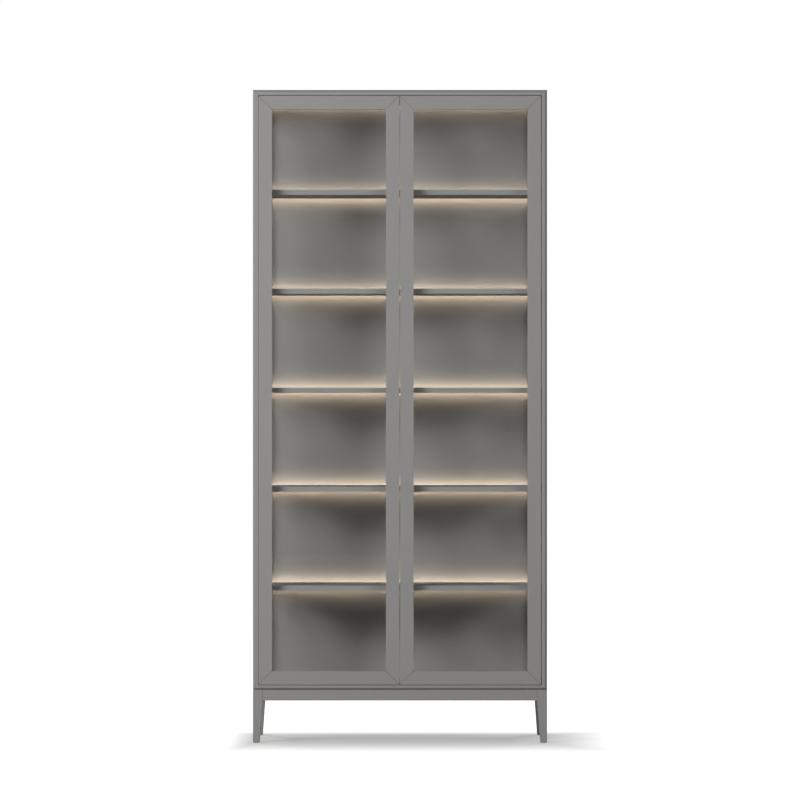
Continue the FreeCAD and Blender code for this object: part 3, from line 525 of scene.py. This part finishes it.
@cache
def streak_group():
    """Drawn or rolled metal, or wood: long streaks along one axis."""
    group, start, end = new_group(
        "Streaked surface",
        (("Light", "NodeSocketColor", (0.7, 0.7, 0.7, 1)),
         ("Dark", "NodeSocketColor", (0.5, 0.5, 0.5, 1)),
         ("Stretch", "NodeSocketVector", (4.0, 300.0, 300.0)),
         ("Roughness", "NodeSocketFloat", 0.35),
         ("Roughness Spread", "NodeSocketFloat", 0.08)),
        (("Colour", "NodeSocketColor"), ("Roughness", "NodeSocketFloat"),
         ("Streak", "NodeSocketFloat")))
    nodes, links = group.nodes, group.links
    scaled = nodes.new("ShaderNodeVectorMath")
    scaled.operation = "MULTIPLY"
    links.new(object_place(nodes), scaled.inputs[0])
    links.new(start.outputs["Stretch"], scaled.inputs[1])
    streak = noise(nodes, links, scaled.outputs[0], 1.0, 4.0, 0.6)
    links.new(mixed(nodes, links, streak, start.outputs["Light"], start.outputs["Dark"]),
              end.inputs["Colour"])
    limits = around(nodes, links, start.outputs["Roughness"],
                    start.outputs["Roughness Spread"])
    links.new(spread(nodes, links, streak, *limits), end.inputs["Roughness"])
    links.new(streak, end.inputs["Streak"])
    return group


def place_group(nodes, group, **values):
    node = nodes.new("ShaderNodeGroup")
    node.node_tree = group
    for label, value in values.items():
        node.inputs[label.replace("_", " ")].default_value = value
    return node


def raise_surface(nodes, links, shader, height, strength, distance):
    bump = nodes.new("ShaderNodeBump")
    bump.inputs["Strength"].default_value = strength
    bump.inputs["Distance"].default_value = distance
    links.new(height, bump.inputs["Height"])
    links.new(bump.outputs["Normal"], shader.inputs["Normal"])


def coated(name, colour_value, roughness, mottle, peel_scale, peel, mottle_scale=5.0,
           specular=0.5):
    """A lacquered or moulded finish from the coat group."""
    material, nodes, links, shader = fresh_material(name)
    coat = place_group(nodes, coat_group(), Colour=(*colour_value, 1.0), Mottle=mottle,
                       Mottle_Scale=mottle_scale, Roughness=roughness,
                       Peel_Scale=peel_scale)
    links.new(coat.outputs["Colour"], shader.inputs["Base Color"])
    links.new(coat.outputs["Roughness"], shader.inputs["Roughness"])
    shader.inputs["Specular IOR Level"].default_value = specular
    raise_surface(nodes, links, shader, coat.outputs["Peel"], strength=0.25, distance=peel)
    return material


def streaked(name, light, dark, stretch, roughness, metallic, relief):
    """A metal or wooden finish from the streak group."""
    material, nodes, links, shader = fresh_material(name)
    streaks = place_group(nodes, streak_group(), Light=(*light, 1.0), Dark=(*dark, 1.0),
                          Stretch=stretch, Roughness=roughness)
    links.new(streaks.outputs["Colour"], shader.inputs["Base Color"])
    links.new(streaks.outputs["Roughness"], shader.inputs["Roughness"])
    shader.inputs["Metallic"].default_value = metallic
    raise_surface(nodes, links, shader, streaks.outputs["Streak"], strength=0.3,
                  distance=relief)
    return material


def tones(base, step):
    """A lighter and a darker tone about a colour."""
    return [tuple(min(1.0, part * (1 + sign * step)) for part in base) for sign in (1, -1)]


@cache
def lacquer():
    return coated("Warm grey lacquer", finishes().lacquer, finishes().lacquer_roughness,
                  mottle=0.035, peel_scale=900.0, peel=0.05 * MM, specular=0.35)


# painted light: a lighter copy of the outside lacquer, for the dimly lit shelves and back
# panel
@cache
def inside_lacquer_painted_lighter():
    return coated("Inside lacquer painted lighter", finishes().inside_lacquer_painted_lighter,
                  finishes().lacquer_roughness + 0.08, mottle=0.04, peel_scale=900.0,
                  peel=0.05 * MM, specular=0.2)


@cache
def bare_wood():
    return streaked("Bare beech", *tones(finishes().beech, 0.16),
                    stretch=(14.0, 160.0, 160.0), roughness=0.62, metallic=0.0,
                    relief=0.15 * MM)


@cache
def steel():
    return streaked("Zinc-plated steel", *tones((0.56, 0.56, 0.57), 0.10),
                    stretch=(120.0, 900.0, 140.0), roughness=0.34, metallic=1.0,
                    relief=0.01 * MM)


@cache
def aluminium():
    return streaked("Anodised aluminium", *tones((0.60, 0.60, 0.61), 0.08),
                    stretch=(3.0, 900.0, 900.0), roughness=0.40, metallic=1.0,
                    relief=0.01 * MM)


# name, colour, roughness, mottle, scale of the peel, its height, scale of the mottle
PLASTICS = {
    "nylon": ("Natural nylon", (0.72, 0.72, 0.70), 0.48, 0.05, 300.0, 0.05 * MM, 60.0),
    "grey_plastic": ("Grey moulded plastic", (0.24, 0.235, 0.23), 0.52, 0.06, 1600.0,
                     0.1 * MM, 40.0),
    "white_plastic": ("White moulded plastic", (0.78, 0.78, 0.77), 0.46, 0.03, 1400.0,
                      0.1 * MM, 30.0),
    "black_plastic": ("Black moulded plastic", (0.03, 0.03, 0.03), 0.50, 0.10, 1600.0,
                      0.1 * MM, 60.0),
}


@cache
def glass():
    """Clear float glass that lets lamps and soft light through, with faint wipe marks."""
    material, nodes, links, shader = fresh_material("Clear float glass")
    place = object_place(nodes)
    wipes = noise(nodes, links, place, 7.0, 3.0, 0.6)
    links.new(spread(nodes, links, wipes, 0.0, 0.03), shader.inputs["Roughness"])
    cloud = noise(nodes, links, place, 2.0, 1.0)
    tone = spread(nodes, links, cloud, 0.992, 1.0)
    links.new(shaded(nodes, links, finishes().glass_tint, tone), shader.inputs["Base Color"])
    shader.inputs["Transmission Weight"].default_value = 1.0
    shader.inputs["IOR"].default_value = 1.46
    path = nodes.new("ShaderNodeLightPath")
    soft = math_node(nodes, links, "MAXIMUM", path.outputs["Is Shadow Ray"],
                     path.outputs["Is Diffuse Ray"])
    clear_where(nodes, links, soft, shader, PANE_TINT)
    return material


@cache
def led_tape():
    """White tape with a yellow phosphor chip every 8 mm and copper pads between them."""
    material, nodes, links, shader = fresh_material("Light tape")
    place = object_place(nodes)
    along = math_node(nodes, links, "PINGPONG", axes_of(nodes, links, place)["X"], 4 * MM)
    chip = math_node(nodes, links, "LESS_THAN", along, 1.4 * MM)
    pad = math_node(nodes, links, "GREATER_THAN", along, 3.2 * MM)
    grain = noise(nodes, links, place, 500.0)
    white, phosphor, copper = ((0.86, 0.85, 0.82, 1.0), (0.85, 0.62, 0.12, 1.0),
                               (0.72, 0.40, 0.22, 1.0))
    chips = mixed(nodes, links, chip, white, phosphor)
    links.new(mixed(nodes, links, pad, chips, copper), shader.inputs["Base Color"])
    links.new(spread(nodes, links, grain, 0.35, 0.5), shader.inputs["Roughness"])
    return material


@cache
def lit_lens():
    """Opal diffuser, lit warm white from within; the light under the top is set lower."""
    material, nodes, links, shader = fresh_material("Lit lens")
    place = object_place(nodes)
    cloud = noise(nodes, links, place, 40.0)
    tone = spread(nodes, links, cloud, 0.97, 1.0)
    links.new(shaded(nodes, links, (0.95, 0.90, 0.82), tone), shader.inputs["Base Color"])
    links.new(spread(nodes, links, cloud, 0.45, 0.6), shader.inputs["Roughness"])
    shader.inputs["Emission Color"].default_value = (*finishes().light_colour, 1.0)
    strength = finishes().light_strength
    # only the lens under the top lies within 0.1 m of it
    links.new(ramp(nodes, links, axes_of(nodes, links, place)["Z"], TOP_BOARD[0].z - 0.2,
                   TOP_BOARD[0].z - 0.1, strength, TOP_LIGHT * strength),
              shader.inputs["Emission Strength"])
    return material


FINISHES = {
    "lacquer": lacquer,
    "lacquer_inside": inside_lacquer_painted_lighter,
    "bare_wood": bare_wood,
    "glass": glass,
    "steel": steel,
    "aluminium": aluminium,
    "led_tape": led_tape,
    "lit_lens": lit_lens,
    **{slot: cache(partial(coated, *row)) for slot, row in PLASTICS.items()},
}


# ---------------- carcass
def top_or_bottom_joint(edge):
    """True on the arrises where a side board meets the top or the bottom board."""
    inner = LEFT_BOARD[1].x
    if not on_plane("x", inner)(edge):
        return False
    levels = [point.co.z for point in edge.verts]
    return (min(levels) > TOP_BOARD[0].z - SLACK
            or max(levels) < BOTTOM_BOARD[1].z + SLACK)


def side_board():
    """The left side board: a window with a rebate."""
    low, high = LEFT_BOARD
    pane_outer = LEFT_PANE[0].x
    pocket_low, pocket_high = LEFT_BEADS
    piece = block("side_board", low, high)
    with editing(piece):
        pick(piece, "FACE", either(on_plane("x", low.x), on_plane("x", high.x)))
        margin = pocket_low.z - low.z
        bpy.ops.mesh.inset(thickness=margin, use_even_offset=True)
        shift_ring(piece, low, high, margin, pocket_low, pocket_high)
        # the pocket from the inside, down to the lip
        pick(piece, "FACE", both(facing((1, 0, 0)), within((high.x, *pocket_low.yz),
                                                           (high.x, *pocket_high.yz))))
        push_out((pane_outer - high.x, 0, 0))
        bpy.ops.mesh.inset(thickness=REBATE, use_even_offset=True)
        # the same inset outside, then the window through the lip
        pick(piece, "FACE", both(facing((-1, 0, 0)), within((low.x, *pocket_low.yz),
                                                            (low.x, *pocket_high.yz))))
        bpy.ops.mesh.inset(thickness=REBATE, use_even_offset=True)
        window_low = Vector((low.x - MM, pocket_low.y + REBATE, pocket_low.z + REBATE))
        window_high = Vector((pane_outer + MM, pocket_high.y - REBATE,
                              pocket_high.z - REBATE))
        opening = window_high - window_low
        pick(piece, "FACE", both(
            within(window_low, window_high),
            lambda face: face.calc_area() > 0.9 * opening.y * opening.z))
        bpy.ops.mesh.bridge_edge_loops()
    return piece


def shift_ring(piece, low, high, margin, ring_low, ring_high):
    """Move the points of an even inset of the side board to the rebate's outline."""
    for axis, at, goal in ((1, low.y + margin, ring_low.y), (1, high.y - margin, ring_high.y),
                           (2, high.z - margin, ring_high.z)):
        step = [0.0, 0.0, 0.0]
        step[axis] = goal - at
        if near(step[axis], 0, SLACK / 100):
            continue
        pick(piece, "VERT", lambda point: near(point.co[axis], at))
        bpy.ops.transform.translate(value=step)


def chamfer_front(piece, *planes):
    """Cut the outer chamfer along front arrises that lie in the given planes."""
    with editing(piece):
        pick(piece, "EDGE", both(on_plane("y", FRONT),
                                 either(*(on_plane(axis, level) for axis, level in planes))))
        bevel_picked(sizes().outer_chamfer)


def wall_seat(piece):
    """Sink the wall plate and the pocket for the screw head into the left rear edge."""
    low, high = WALL_PLATES
    seat = block("seat", low, (low.x + PLATE_WIDTH, REAR + MM, high.z))
    clear_selection()
    bpy.ops.mesh.primitive_cylinder_add(
        vertices=32, radius=sizes().wall_pocket, depth=POCKET_DEPTH,
        location=(low.x + PLATE_WIDTH / 2, low.y - POCKET_AHEAD, (low.z + high.z) / 2),
        rotation=(math.pi / 2, 0, 0))
    hole = bpy.context.object
    bpy.ops.object.transform_apply(location=True, rotation=True, scale=True)
    sink(piece, seat, hole)


class BOOKCASE_OT_side_boards(bpy.types.Operator):
    """Make the two side boards with their windows"""
    bl_idname = "bookcase.side_boards"
    bl_label = "Side Boards"

    def execute(self, context):
        left = side_board()
        low, high = LEFT_BOARD
        chamfer_front(left, ("x", low.x), ("z", low.z), ("z", high.z))
        with editing(left):
            split((0, 0, BOTTOM_BOARD[1].z), (0, 0, 1))
            split((0, 0, TOP_BOARD[0].z), (0, 0, 1))
        ease(left, sizes().board_ease, top_or_bottom_joint)
        wall_seat(left)
        right = mirrored(left, "right_side_board")
        left.name = left.data.name = "left_side_board"
        fit(left, "lacquer", "cabinet", "left_side_panel")
        fit(right, "lacquer", "cabinet", "right_side_panel")
        return {"FINISHED"}


def end_board(name, corner_pair, outer, inner):
    """The top or bottom board: front chamfer, eased arrises, seats for hinge leaves."""
    low, high = corner_pair
    piece = block(name, low, high)
    chamfer_front(piece, ("z", outer))
    ends = either(on_plane("x", low.x), on_plane("x", high.x))
    ease(piece, sizes().board_ease, ends)
    leaf_low, leaf_high = CARCASS_LEAVES
    into = 1 if outer > inner else -1
    bottom, top = sorted((inner - into * MM, inner + into * LEAF_DEPTH))
    sink(piece, *(block("seat", (start, leaf_low.y, bottom),
                        (start + LEAF_LENGTH, leaf_high.y, top))
                  for start in (leaf_low.x, leaf_high.x - LEAF_LENGTH)))
    return piece


class BOOKCASE_OT_end_boards(bpy.types.Operator):
    """Make the top and the bottom board"""
    bl_idname = "bookcase.end_boards"
    bl_label = "Top and Bottom Boards"

    def execute(self, context):
        top = end_board("top_board", TOP_BOARD, TOP_BOARD[1].z, TOP_BOARD[0].z)
        bottom = end_board("bottom_board", BOTTOM_BOARD, BOTTOM_BOARD[0].z, BOTTOM_BOARD[1].z)
        fit(top, "lacquer", "cabinet", "top_panel")
        fit(bottom, "lacquer", "cabinet", "bottom_panel")
        return {"FINISHED"}


class BOOKCASE_OT_back_board(bpy.types.Operator):
    """Make the thin back board that sits in the grooves"""
    bl_idname = "bookcase.back_board"
    bl_label = "Back Board"

    def execute(self, context):
        piece = block("back_board", *corners("back_panel"))
        ease(piece, sizes().board_ease, steps=1)
        fit(piece, "lacquer_inside", "cabinet", "back_panel")
        return {"FINISHED"}


class BOOKCASE_OT_shelves(bpy.types.Operator):
    """Make one shelf and copy it to its five places"""
    bl_idname = "bookcase.shelves"
    bl_label = "Shelves"

    def execute(self, context):
        low, high = corners(SHELVES[0])
        first = block("shelf_board_1", low, high)
        ease(first, sizes().board_ease, steps=3)
        fit(first, "lacquer_inside", "cabinet", SHELVES[0])
        for node in SHELVES[1:]:
            step = (0, 0, corners(node)[0].z - low.z)
            piece = moved(first, node.replace("shelf_", "shelf_board_"), step)
            fit(piece, "lacquer_inside", "cabinet", node)
        return {"FINISHED"}


# ---------------- base
def base_leg():
    """The front left leg: square above, tapered on its two inner faces below."""
    low, high = LEG
    shoulder = FRONT_APRON[0].z
    foot = sizes().foot_width
    piece = block("leg_front_left", low, high)
    with editing(piece):
        split((0, 0, shoulder), (0, 0, 1))
        pick(piece, "VERT", both(on_plane("z", low.z), on_plane("x", high.x)))
        bpy.ops.transform.translate(value=(low.x + foot - high.x, 0, 0))
        pick(piece, "VERT", both(on_plane("z", low.z), on_plane("y", high.y)))
        bpy.ops.transform.translate(value=(0, low.y + foot - high.y, 0))
        pick(piece, "EDGE", lambda edge: sharp(edge) and abs(
            (edge.verts[0].co - edge.verts[1].co).normalized().z) > 0.9)
        bevel_picked(sizes().leg_ease, 3)
        pick(piece, "EDGE", either(*(both(sharp, on_plane("z", level))
                                     for level in (low.z, high.z))))
        bevel_picked(sizes().board_ease, 1)
    return piece


class BOOKCASE_OT_legs(bpy.types.Operator):
    """Make one tapered leg and turn it to its four places"""
    bl_idname = "bookcase.legs"
    bl_label = "Legs"

    def execute(self, context):
        left = base_leg()
        right = mirrored(left, "leg_front_right")
        legs = {"front_left": left, "front_right": right,
                "rear_left": mirrored(left, "leg_rear_left", axis=1),
                "rear_right": mirrored(right, "leg_rear_right", axis=1)}
        for corner, leg in legs.items():
            fit(leg, "lacquer", "cabinet", f"{corner}_leg")
        return {"FINISHED"}


class BOOKCASE_OT_aprons(bpy.types.Operator):
    """Make the four aprons between the legs"""
    bl_idname = "bookcase.aprons"
    bl_label = "Aprons"

    def execute(self, context):
        for name in ("front", "rear", "left", "right"):
            piece = block(f"apron_{name}", *corners(f"{name}_apron"))
            ease(piece, sizes().board_ease, steps=2)
            fit(piece, "lacquer", "cabinet", f"{name}_apron")
        return {"FINISHED"}


# ---------------- doors
def frame_member(name, outer, inner, along, low, high):
    """One mitred member of the left door.

    outer and inner are its long edges, along is "x" for a rail and "z" for a stile, and
    low and high are the ends of its outer edge.
    """
    across = "x" if along == "z" else "z"
    front, back = TOP_RAIL[0].y, TOP_RAIL[1].y
    lip = DOOR_PANE[0].y

    def spot(edge, end, depth):
        return Vector((edge, depth, end)) if across == "x" else Vector((end, depth, edge))

    start = spot(min(outer, inner), low, front)
    finish = spot(max(outer, inner), high, lip)
    piece = block(name, [min(pair) for pair in zip(start, finish)],
                  [max(pair) for pair in zip(start, finish)])
    seat = inner + (REBATE if outer > inner else -REBATE)
    normal = spot(1, 0, 0)
    with editing(piece):
        split(spot(seat, 0, 0), normal)
        outer_low, outer_high = sorted((outer, seat))
        corner_low = spot(outer_low, low, lip)
        corner_high = spot(outer_high, high, lip)
        pick(piece, "FACE", both(facing((0, 1, 0)), within(corner_low, corner_high)))
        push_out((0, back - lip, 0))
        turn = 1 if outer < inner else -1
        for end, sign in ((low, -1), (high, 1)):
            split(spot(outer, end, 0), spot(turn, sign, 0), use_fill=True,
                  clear_outer=True)
    close_up(piece)

    def at_one_mitre(slack):
        """A test for edges that lie along the mitre of one end."""
        def test(edge):
            reach = [abs(point.co[0 if across == "x" else 2] - outer) for point in edge.verts]
            place = [point.co[2 if across == "x" else 0] for point in edge.verts]
            return (all(near(at - low, step, slack) for at, step in zip(place, reach))
                    or all(near(high - at, step, slack) for at, step in zip(place, reach)))
        return test

    with editing(piece):
        pick(piece, "EDGE", both(at_one_mitre(MITRE_SLACK), on_plane("y", front)))
        bevel_picked(sizes().mitre_groove)
    by_mitre = at_one_mitre(BY_MITRE * sizes().mitre_groove)
    ease(piece, sizes().door_ease, by_mitre)
    return piece


class BOOKCASE_OT_door_frames(bpy.types.Operator):
    """Make the four mitred members of a door, and turn them for the other door"""
    bl_idname = "bookcase.door_frames"
    bl_label = "Door Frames"

    def execute(self, context):
        low_z, high_z = HINGE_STILE[0].z, HINGE_STILE[1].z
        low_x, high_x = TOP_RAIL[0].x, TOP_RAIL[1].x
        ends = {"x": (low_x, high_x), "z": (low_z, high_z)}
        members = {
            name: frame_member(name, outer, inner, along, *ends[along])
            for name, outer, inner, along in (
                ("hinge_stile", low_x, HINGE_STILE[1].x, "z"),
                ("meeting_stile", high_x, MEETING_STILE[0].x, "z"),
                ("top_rail", high_z, TOP_RAIL[0].z, "x"),
                ("bottom_rail", low_z, BOTTOM_RAIL[1].z, "x"))
        }
        leaf_low, leaf_high = LEAVES
        top_seat = block("seat", (*leaf_low.xy, high_z - LEAF_DEPTH),
                         (*leaf_high.xy, high_z + MM))
        bottom_seat = block("seat", (*leaf_low.xy, low_z - MM),
                            (*leaf_high.xy, low_z + LEAF_DEPTH))
        strike_seat = block("seat", STRIKE[0], STRIKE[1] + Vector((0, MM, 0)))
        sink(members["top_rail"], top_seat, strike_seat)
        sink(members["bottom_rail"], bottom_seat)
        for name, piece in members.items():
            twin = mirrored(piece, f"right_door_{name}_member", DOOR_MIRROR)
            piece.name = piece.data.name = f"left_door_{name}_member"
            fit(piece, "lacquer", "left_door", f"left_door_{name}")
            fit(twin, "lacquer", "right_door", f"right_door_{name}")
        return {"FINISHED"}


# ---------------- glazing
def pane(name, node, body):
    piece = block(name, *corners(node))
    ease(piece, sizes().pane_arris, steps=1)
    fit(piece, "glass", body, node)


class BOOKCASE_OT_panes(bpy.types.Operator):
    """Make the four panes with their ground arrises"""
    bl_idname = "bookcase.panes"
    bl_label = "Panes"

    def execute(self, context):
        for side in SIDES:
            pane(f"{side}_door_pane", f"{side}_door_glass", f"{side}_door")
            pane(f"{side}_side_pane", f"{side}_side_glass", "cabinet")
        return {"FINISHED"}


def bead_ring(name, low, high, across):
    """Four glass beads round a pane, the upright ones running past the level ones."""
    other = 1 - across
    inner_low, inner_high = low[other] + REBATE, high[other] - REBATE
    inner_bottom, inner_top = low.z + REBATE, high.z - REBATE

    def bar(start, end, bottom, top):
        first, last = low.copy(), high.copy()
        first[other], last[other], first.z, last.z = start, end, bottom, top
        return first, last

    bars = (
        bar(low[other], inner_low, low.z, high.z),
        bar(inner_high, high[other], low.z, high.z),
        bar(inner_low, inner_high, low.z, inner_bottom),
        bar(inner_low, inner_high, inner_top, high.z),
    )
    piece = block(name, *bars[0])

    def faces_opening(edge):
        middle = (edge.verts[0].co + edge.verts[1].co) / 2
        return (low[other] + REBATE / 2 < middle[other] < high[other] - REBATE / 2
                and low.z + REBATE / 2 < middle.z < high.z - REBATE / 2)

    opening = either(on_plane("xyz"[other], inner_low), on_plane("xyz"[other], inner_high),
                     on_plane("z", inner_bottom), on_plane("z", inner_top))
    with editing(piece):
        for start, end in bars[1:]:
            add_block(start, end)
        # the free arris of every bead
        pick(piece, "EDGE", both(sharp, on_plane("xyz"[across], high[across]), opening,
                                 faces_opening))
        bevel_picked(sizes().bead_chamfer, 2)
    ease(piece, BEAD_EASE, steps=1)
    return piece


class BOOKCASE_OT_beads(bpy.types.Operator):
    """Make the glass beads of the doors and of the side windows"""
    bl_idname = "bookcase.beads"
    bl_label = "Glass Beads"

    def execute(self, context):
        low, high = DOOR_BEADS
        left = bead_ring("left_door_bead_ring", low, high, 1)
        right = mirrored(left, "right_door_bead_ring", DOOR_MIRROR)
        fit(left, "lacquer", "left_door", "left_door_glass_beads")
        fit(right, "lacquer", "right_door", "right_door_glass_beads")
        low, high = (corner.copy() for corner in LEFT_BEADS)
        low.x = LEFT_PANE[1].x
        high.x = LEFT_BOARD[1].x
        ring = bead_ring("side_bead_rings", low, high, 0)
        twin = mirrored(ring, "side_bead_twin")
        take(twin)
        ring.select_set(True)
        bpy.context.view_layer.objects.active = ring
        bpy.ops.object.join()
        fit(ring, "lacquer", "cabinet", "side_glass_beads")
        return {"FINISHED"}


# ---------------- fittings
class BOOKCASE_OT_fittings(bpy.types.Operator):
    """Give every packed fitting that still shows its finish"""
    bl_idname = "bookcase.fittings"
    bl_label = "Fittings"

    def execute(self, context):
        slots = {row["node"]: row["material_slot"] for row in frame["record"]["subparts"]}
        for name, node in frame["nodes"].items():
            finish = FINISHES[slots[name]]()
            if not node.material_slots:
                raise RuntimeError(f"{name} has no material slot")
            for place in node.material_slots:
                place.link = "OBJECT"
                place.material = finish
        return {"FINISHED"}


# ---------------- stage
def lamp(name, spot, watts):
    """A soft round lamp, turned to the middle of the cabinet."""
    light = bpy.data.lights.new(name, "AREA")
    light.shape = "DISK"
    light.size = LAMP_SIZE
    light.energy = watts
    holder = bpy.data.objects.new(name, light)
    bpy.context.collection.objects.link(holder)
    holder.location = spot
    aim = Vector((0, 0, CAD_BOX[1][2] / 2)) - Vector(spot)
    holder.rotation_euler = aim.to_track_quat("-Z", "Y").to_euler()
    return holder


def keep_off_panes(lamps):
    """Leave the panes out of the lamps' light, so that no mirrored lamp hides a bay.

    The lamps still shine through the panes.
    """
    unlit = bpy.data.collections.new("Panes")
    for side in SIDES:
        for name in (f"{side}_door_pane", f"{side}_side_pane"):
            unlit.objects.link(bpy.data.objects[name])
    for member in unlit.collection_objects:
        member.light_linking.link_state = "EXCLUDE"
    for holder in lamps:
        holder.light_linking.receiver_collection = unlit


def sight(nodes, links):
    """Masks for what is seen straight or through glass, and for what a surface mirrors."""
    calc = partial(math_node, nodes, links)
    path = nodes.new("ShaderNodeLightPath").outputs
    bounces = calc("ADD", path["Diffuse Depth"], path["Glossy Depth"])
    straight = calc("MULTIPLY", path["Is Transmission Ray"], calc("LESS_THAN", bounces, 0.5))
    straight = calc("MAXIMUM", path["Is Camera Ray"], straight)
    mirror = calc("MAXIMUM", path["Is Glossy Ray"], path["Is Transmission Ray"])
    mirror = calc("MULTIPLY", mirror, calc("SUBTRACT", 1.0, straight))
    return straight, mirror


def floor_finish():
    """Pale floor: white in plain light, with the lamps' shadow and painted shade round the
    footprint.
    """
    material, nodes, links, shader = fresh_material("Pale floor")
    shader.inputs["Base Color"].default_value = FLOOR_GREY
    shader.inputs["Roughness"].default_value = 0.9
    shader.inputs["Specular IOR Level"].default_value = 0.0
    place = axes_of(nodes, links, object_place(nodes))
    low, high = CAD_BOX
    calc = partial(math_node, nodes, links)
    outside = calc("SUBTRACT", low[1], place["Y"])
    # the painted shade reaches far to the front, less to the right, and little to the left and
    # rear
    for axis, sign, edge, narrowing in (("X", 1, high[0], PAINTED_SHADE_RIGHT),
                                        ("X", -1, -low[0], PAINTED_SHADE_LEFT),
                                        ("Y", 1, high[1], PAINTED_SHADE_REAR)):
        step = calc("SUBTRACT", calc("MULTIPLY", place[axis], sign), edge)
        outside = calc("MAXIMUM", outside, calc("MULTIPLY", step, narrowing))
    # painted shade: the white glow is set darker round the footprint, on top of the lamps' own
    # shadow
    glow_with_painted_shade = ramp(nodes, links, outside, PAINTED_SHADE_START, PAINTED_SHADE_END, PAINTED_SHADE_DARKEST, 1.0,
                "SMOOTHSTEP")
    straight, mirror = sight(nodes, links)
    mirror = calc("MULTIPLY", mirror, ramp(nodes, links, place["Y"], *MIRRORED_FLOOR))
    seen = calc("ADD", straight, mirror)
    shader.inputs["Emission Color"].default_value = WHITE
    links.new(calc("MULTIPLY", seen, glow_with_painted_shade), shader.inputs["Emission Strength"])
    # clear from below, so the underside of the cabinet can be looked at
    clear_where(nodes, links, nodes.new("ShaderNodeNewGeometry").outputs["Backfacing"],
                shader)
    return material


def surround(strength):
    """White behind everything that is seen; soft light from all round, less from the right."""
    world = bpy.data.worlds.new("Studio")
    bpy.context.scene.world = world
    world.use_nodes = True
    nodes, links = world.node_tree.nodes, world.node_tree.links
    sky = nodes["Background"]
    direction = axes_of(nodes, links, nodes.new("ShaderNodeTexCoord").outputs["Generated"])
    straight, mirror = sight(nodes, links)
    backdrop = ramp(nodes, links, direction["Y"], *MIRRORED_ROOM)
    calc = partial(math_node, nodes, links)
    gloss = calc("MULTIPLY", mirror, backdrop)
    sideways = ramp(nodes, links, direction["X"], *SIDE_LIGHT)
    plain = calc("SUBTRACT", 1.0, calc("ADD", straight, mirror))
    light = calc("MULTIPLY", calc("MULTIPLY", sideways, strength), plain)
    seen = calc("ADD", straight, gloss)
    links.new(calc("ADD", seen, light), sky.inputs["Strength"])
    sky.inputs["Color"].default_value = WHITE


class BOOKCASE_OT_stage(bpy.types.Operator):
    """Set up the floor, the lamps, the surround and the camera"""
    bl_idname = "bookcase.stage"
    bl_label = "Stage"

    def execute(self, context):
        values = context.scene.bookcase_stage
        clear_selection()
        bpy.ops.mesh.primitive_plane_add(size=FLOOR_SIZE, location=(0, 0, CAD_BOX[0][2]))
        floor = context.object
        floor.name = "floor"
        bpy.ops.object.transform_apply(location=True, rotation=True, scale=True)
        floor.data.materials.append(floor_finish())
        keep_off_panes([
            lamp("Key lamp", KEY_SPOT, values.key_power),
            lamp("Low lamp", LOW_SPOT, values.low_power),
            lamp("Fill lamp", FILL_SPOT, values.fill_power),
            *(lamp("Rear lamp", spot, values.rear_power) for spot in REAR_SPOTS),
        ])
        surround(values.surround)
        view = bpy.data.cameras.new("Camera")
        view.lens = values.lens
        view.sensor_width = 36.0
        view.clip_end = 100.0
        holder = bpy.data.objects.new("Camera", view)
        context.collection.objects.link(holder)
        holder.location = (0, -values.distance, values.eye_level)
        holder.rotation_euler = (math.pi / 2, 0, 0)
        context.scene.camera = holder
        context.scene.view_settings.view_transform = "Standard"
        return {"FINISHED"}


# ---------------- add-on
PIECES = (
    BOOKCASE_OT_side_boards,
    BOOKCASE_OT_end_boards,
    BOOKCASE_OT_back_board,
    BOOKCASE_OT_shelves,
    BOOKCASE_OT_legs,
    BOOKCASE_OT_aprons,
    BOOKCASE_OT_door_frames,
    BOOKCASE_OT_panes,
    BOOKCASE_OT_beads,
    BOOKCASE_OT_fittings,
    BOOKCASE_OT_stage,
)


class BOOKCASE_PT_panel(bpy.types.Panel):
    """Sizes, finishes and pieces of the bookcase"""
    bl_idname = "BOOKCASE_PT_panel"
    bl_label = "Bookcase"
    bl_space_type = "VIEW_3D"
    bl_region_type = "UI"
    bl_category = "Bookcase"

    def draw(self, context):
        for place, group in GROUPS:
            box = self.layout.box()
            box.label(text=place.split("_")[1].title())
            for name in group.__annotations__:
                box.prop(getattr(context.scene, place), name)
        column = self.layout.column(align=True)
        for operator in PIECES:
            column.operator(operator.bl_idname)


GROUPS = (
    ("bookcase_sizes", BOOKCASE_PG_sizes),
    ("bookcase_finishes", BOOKCASE_PG_finishes),
    ("bookcase_stage", BOOKCASE_PG_stage),
)


def register():
    for name, group in GROUPS:
        bpy.utils.register_class(group)
        setattr(bpy.types.Scene, name, bpy.props.PointerProperty(type=group))
    for operator in PIECES:
        bpy.utils.register_class(operator)
    bpy.utils.register_class(BOOKCASE_PT_panel)


def unregister():
    bpy.utils.unregister_class(BOOKCASE_PT_panel)
    for operator in reversed(PIECES):
        bpy.utils.unregister_class(operator)
    for name, group in reversed(GROUPS):
        delattr(bpy.types.Scene, name)
        bpy.utils.unregister_class(group)


def main():
    register()
    for operator in PIECES:
        family, call = operator.bl_idname.split(".")
        getattr(getattr(bpy.ops, family), call)()
    clear_selection()


if __name__ == "__main__":
    main()
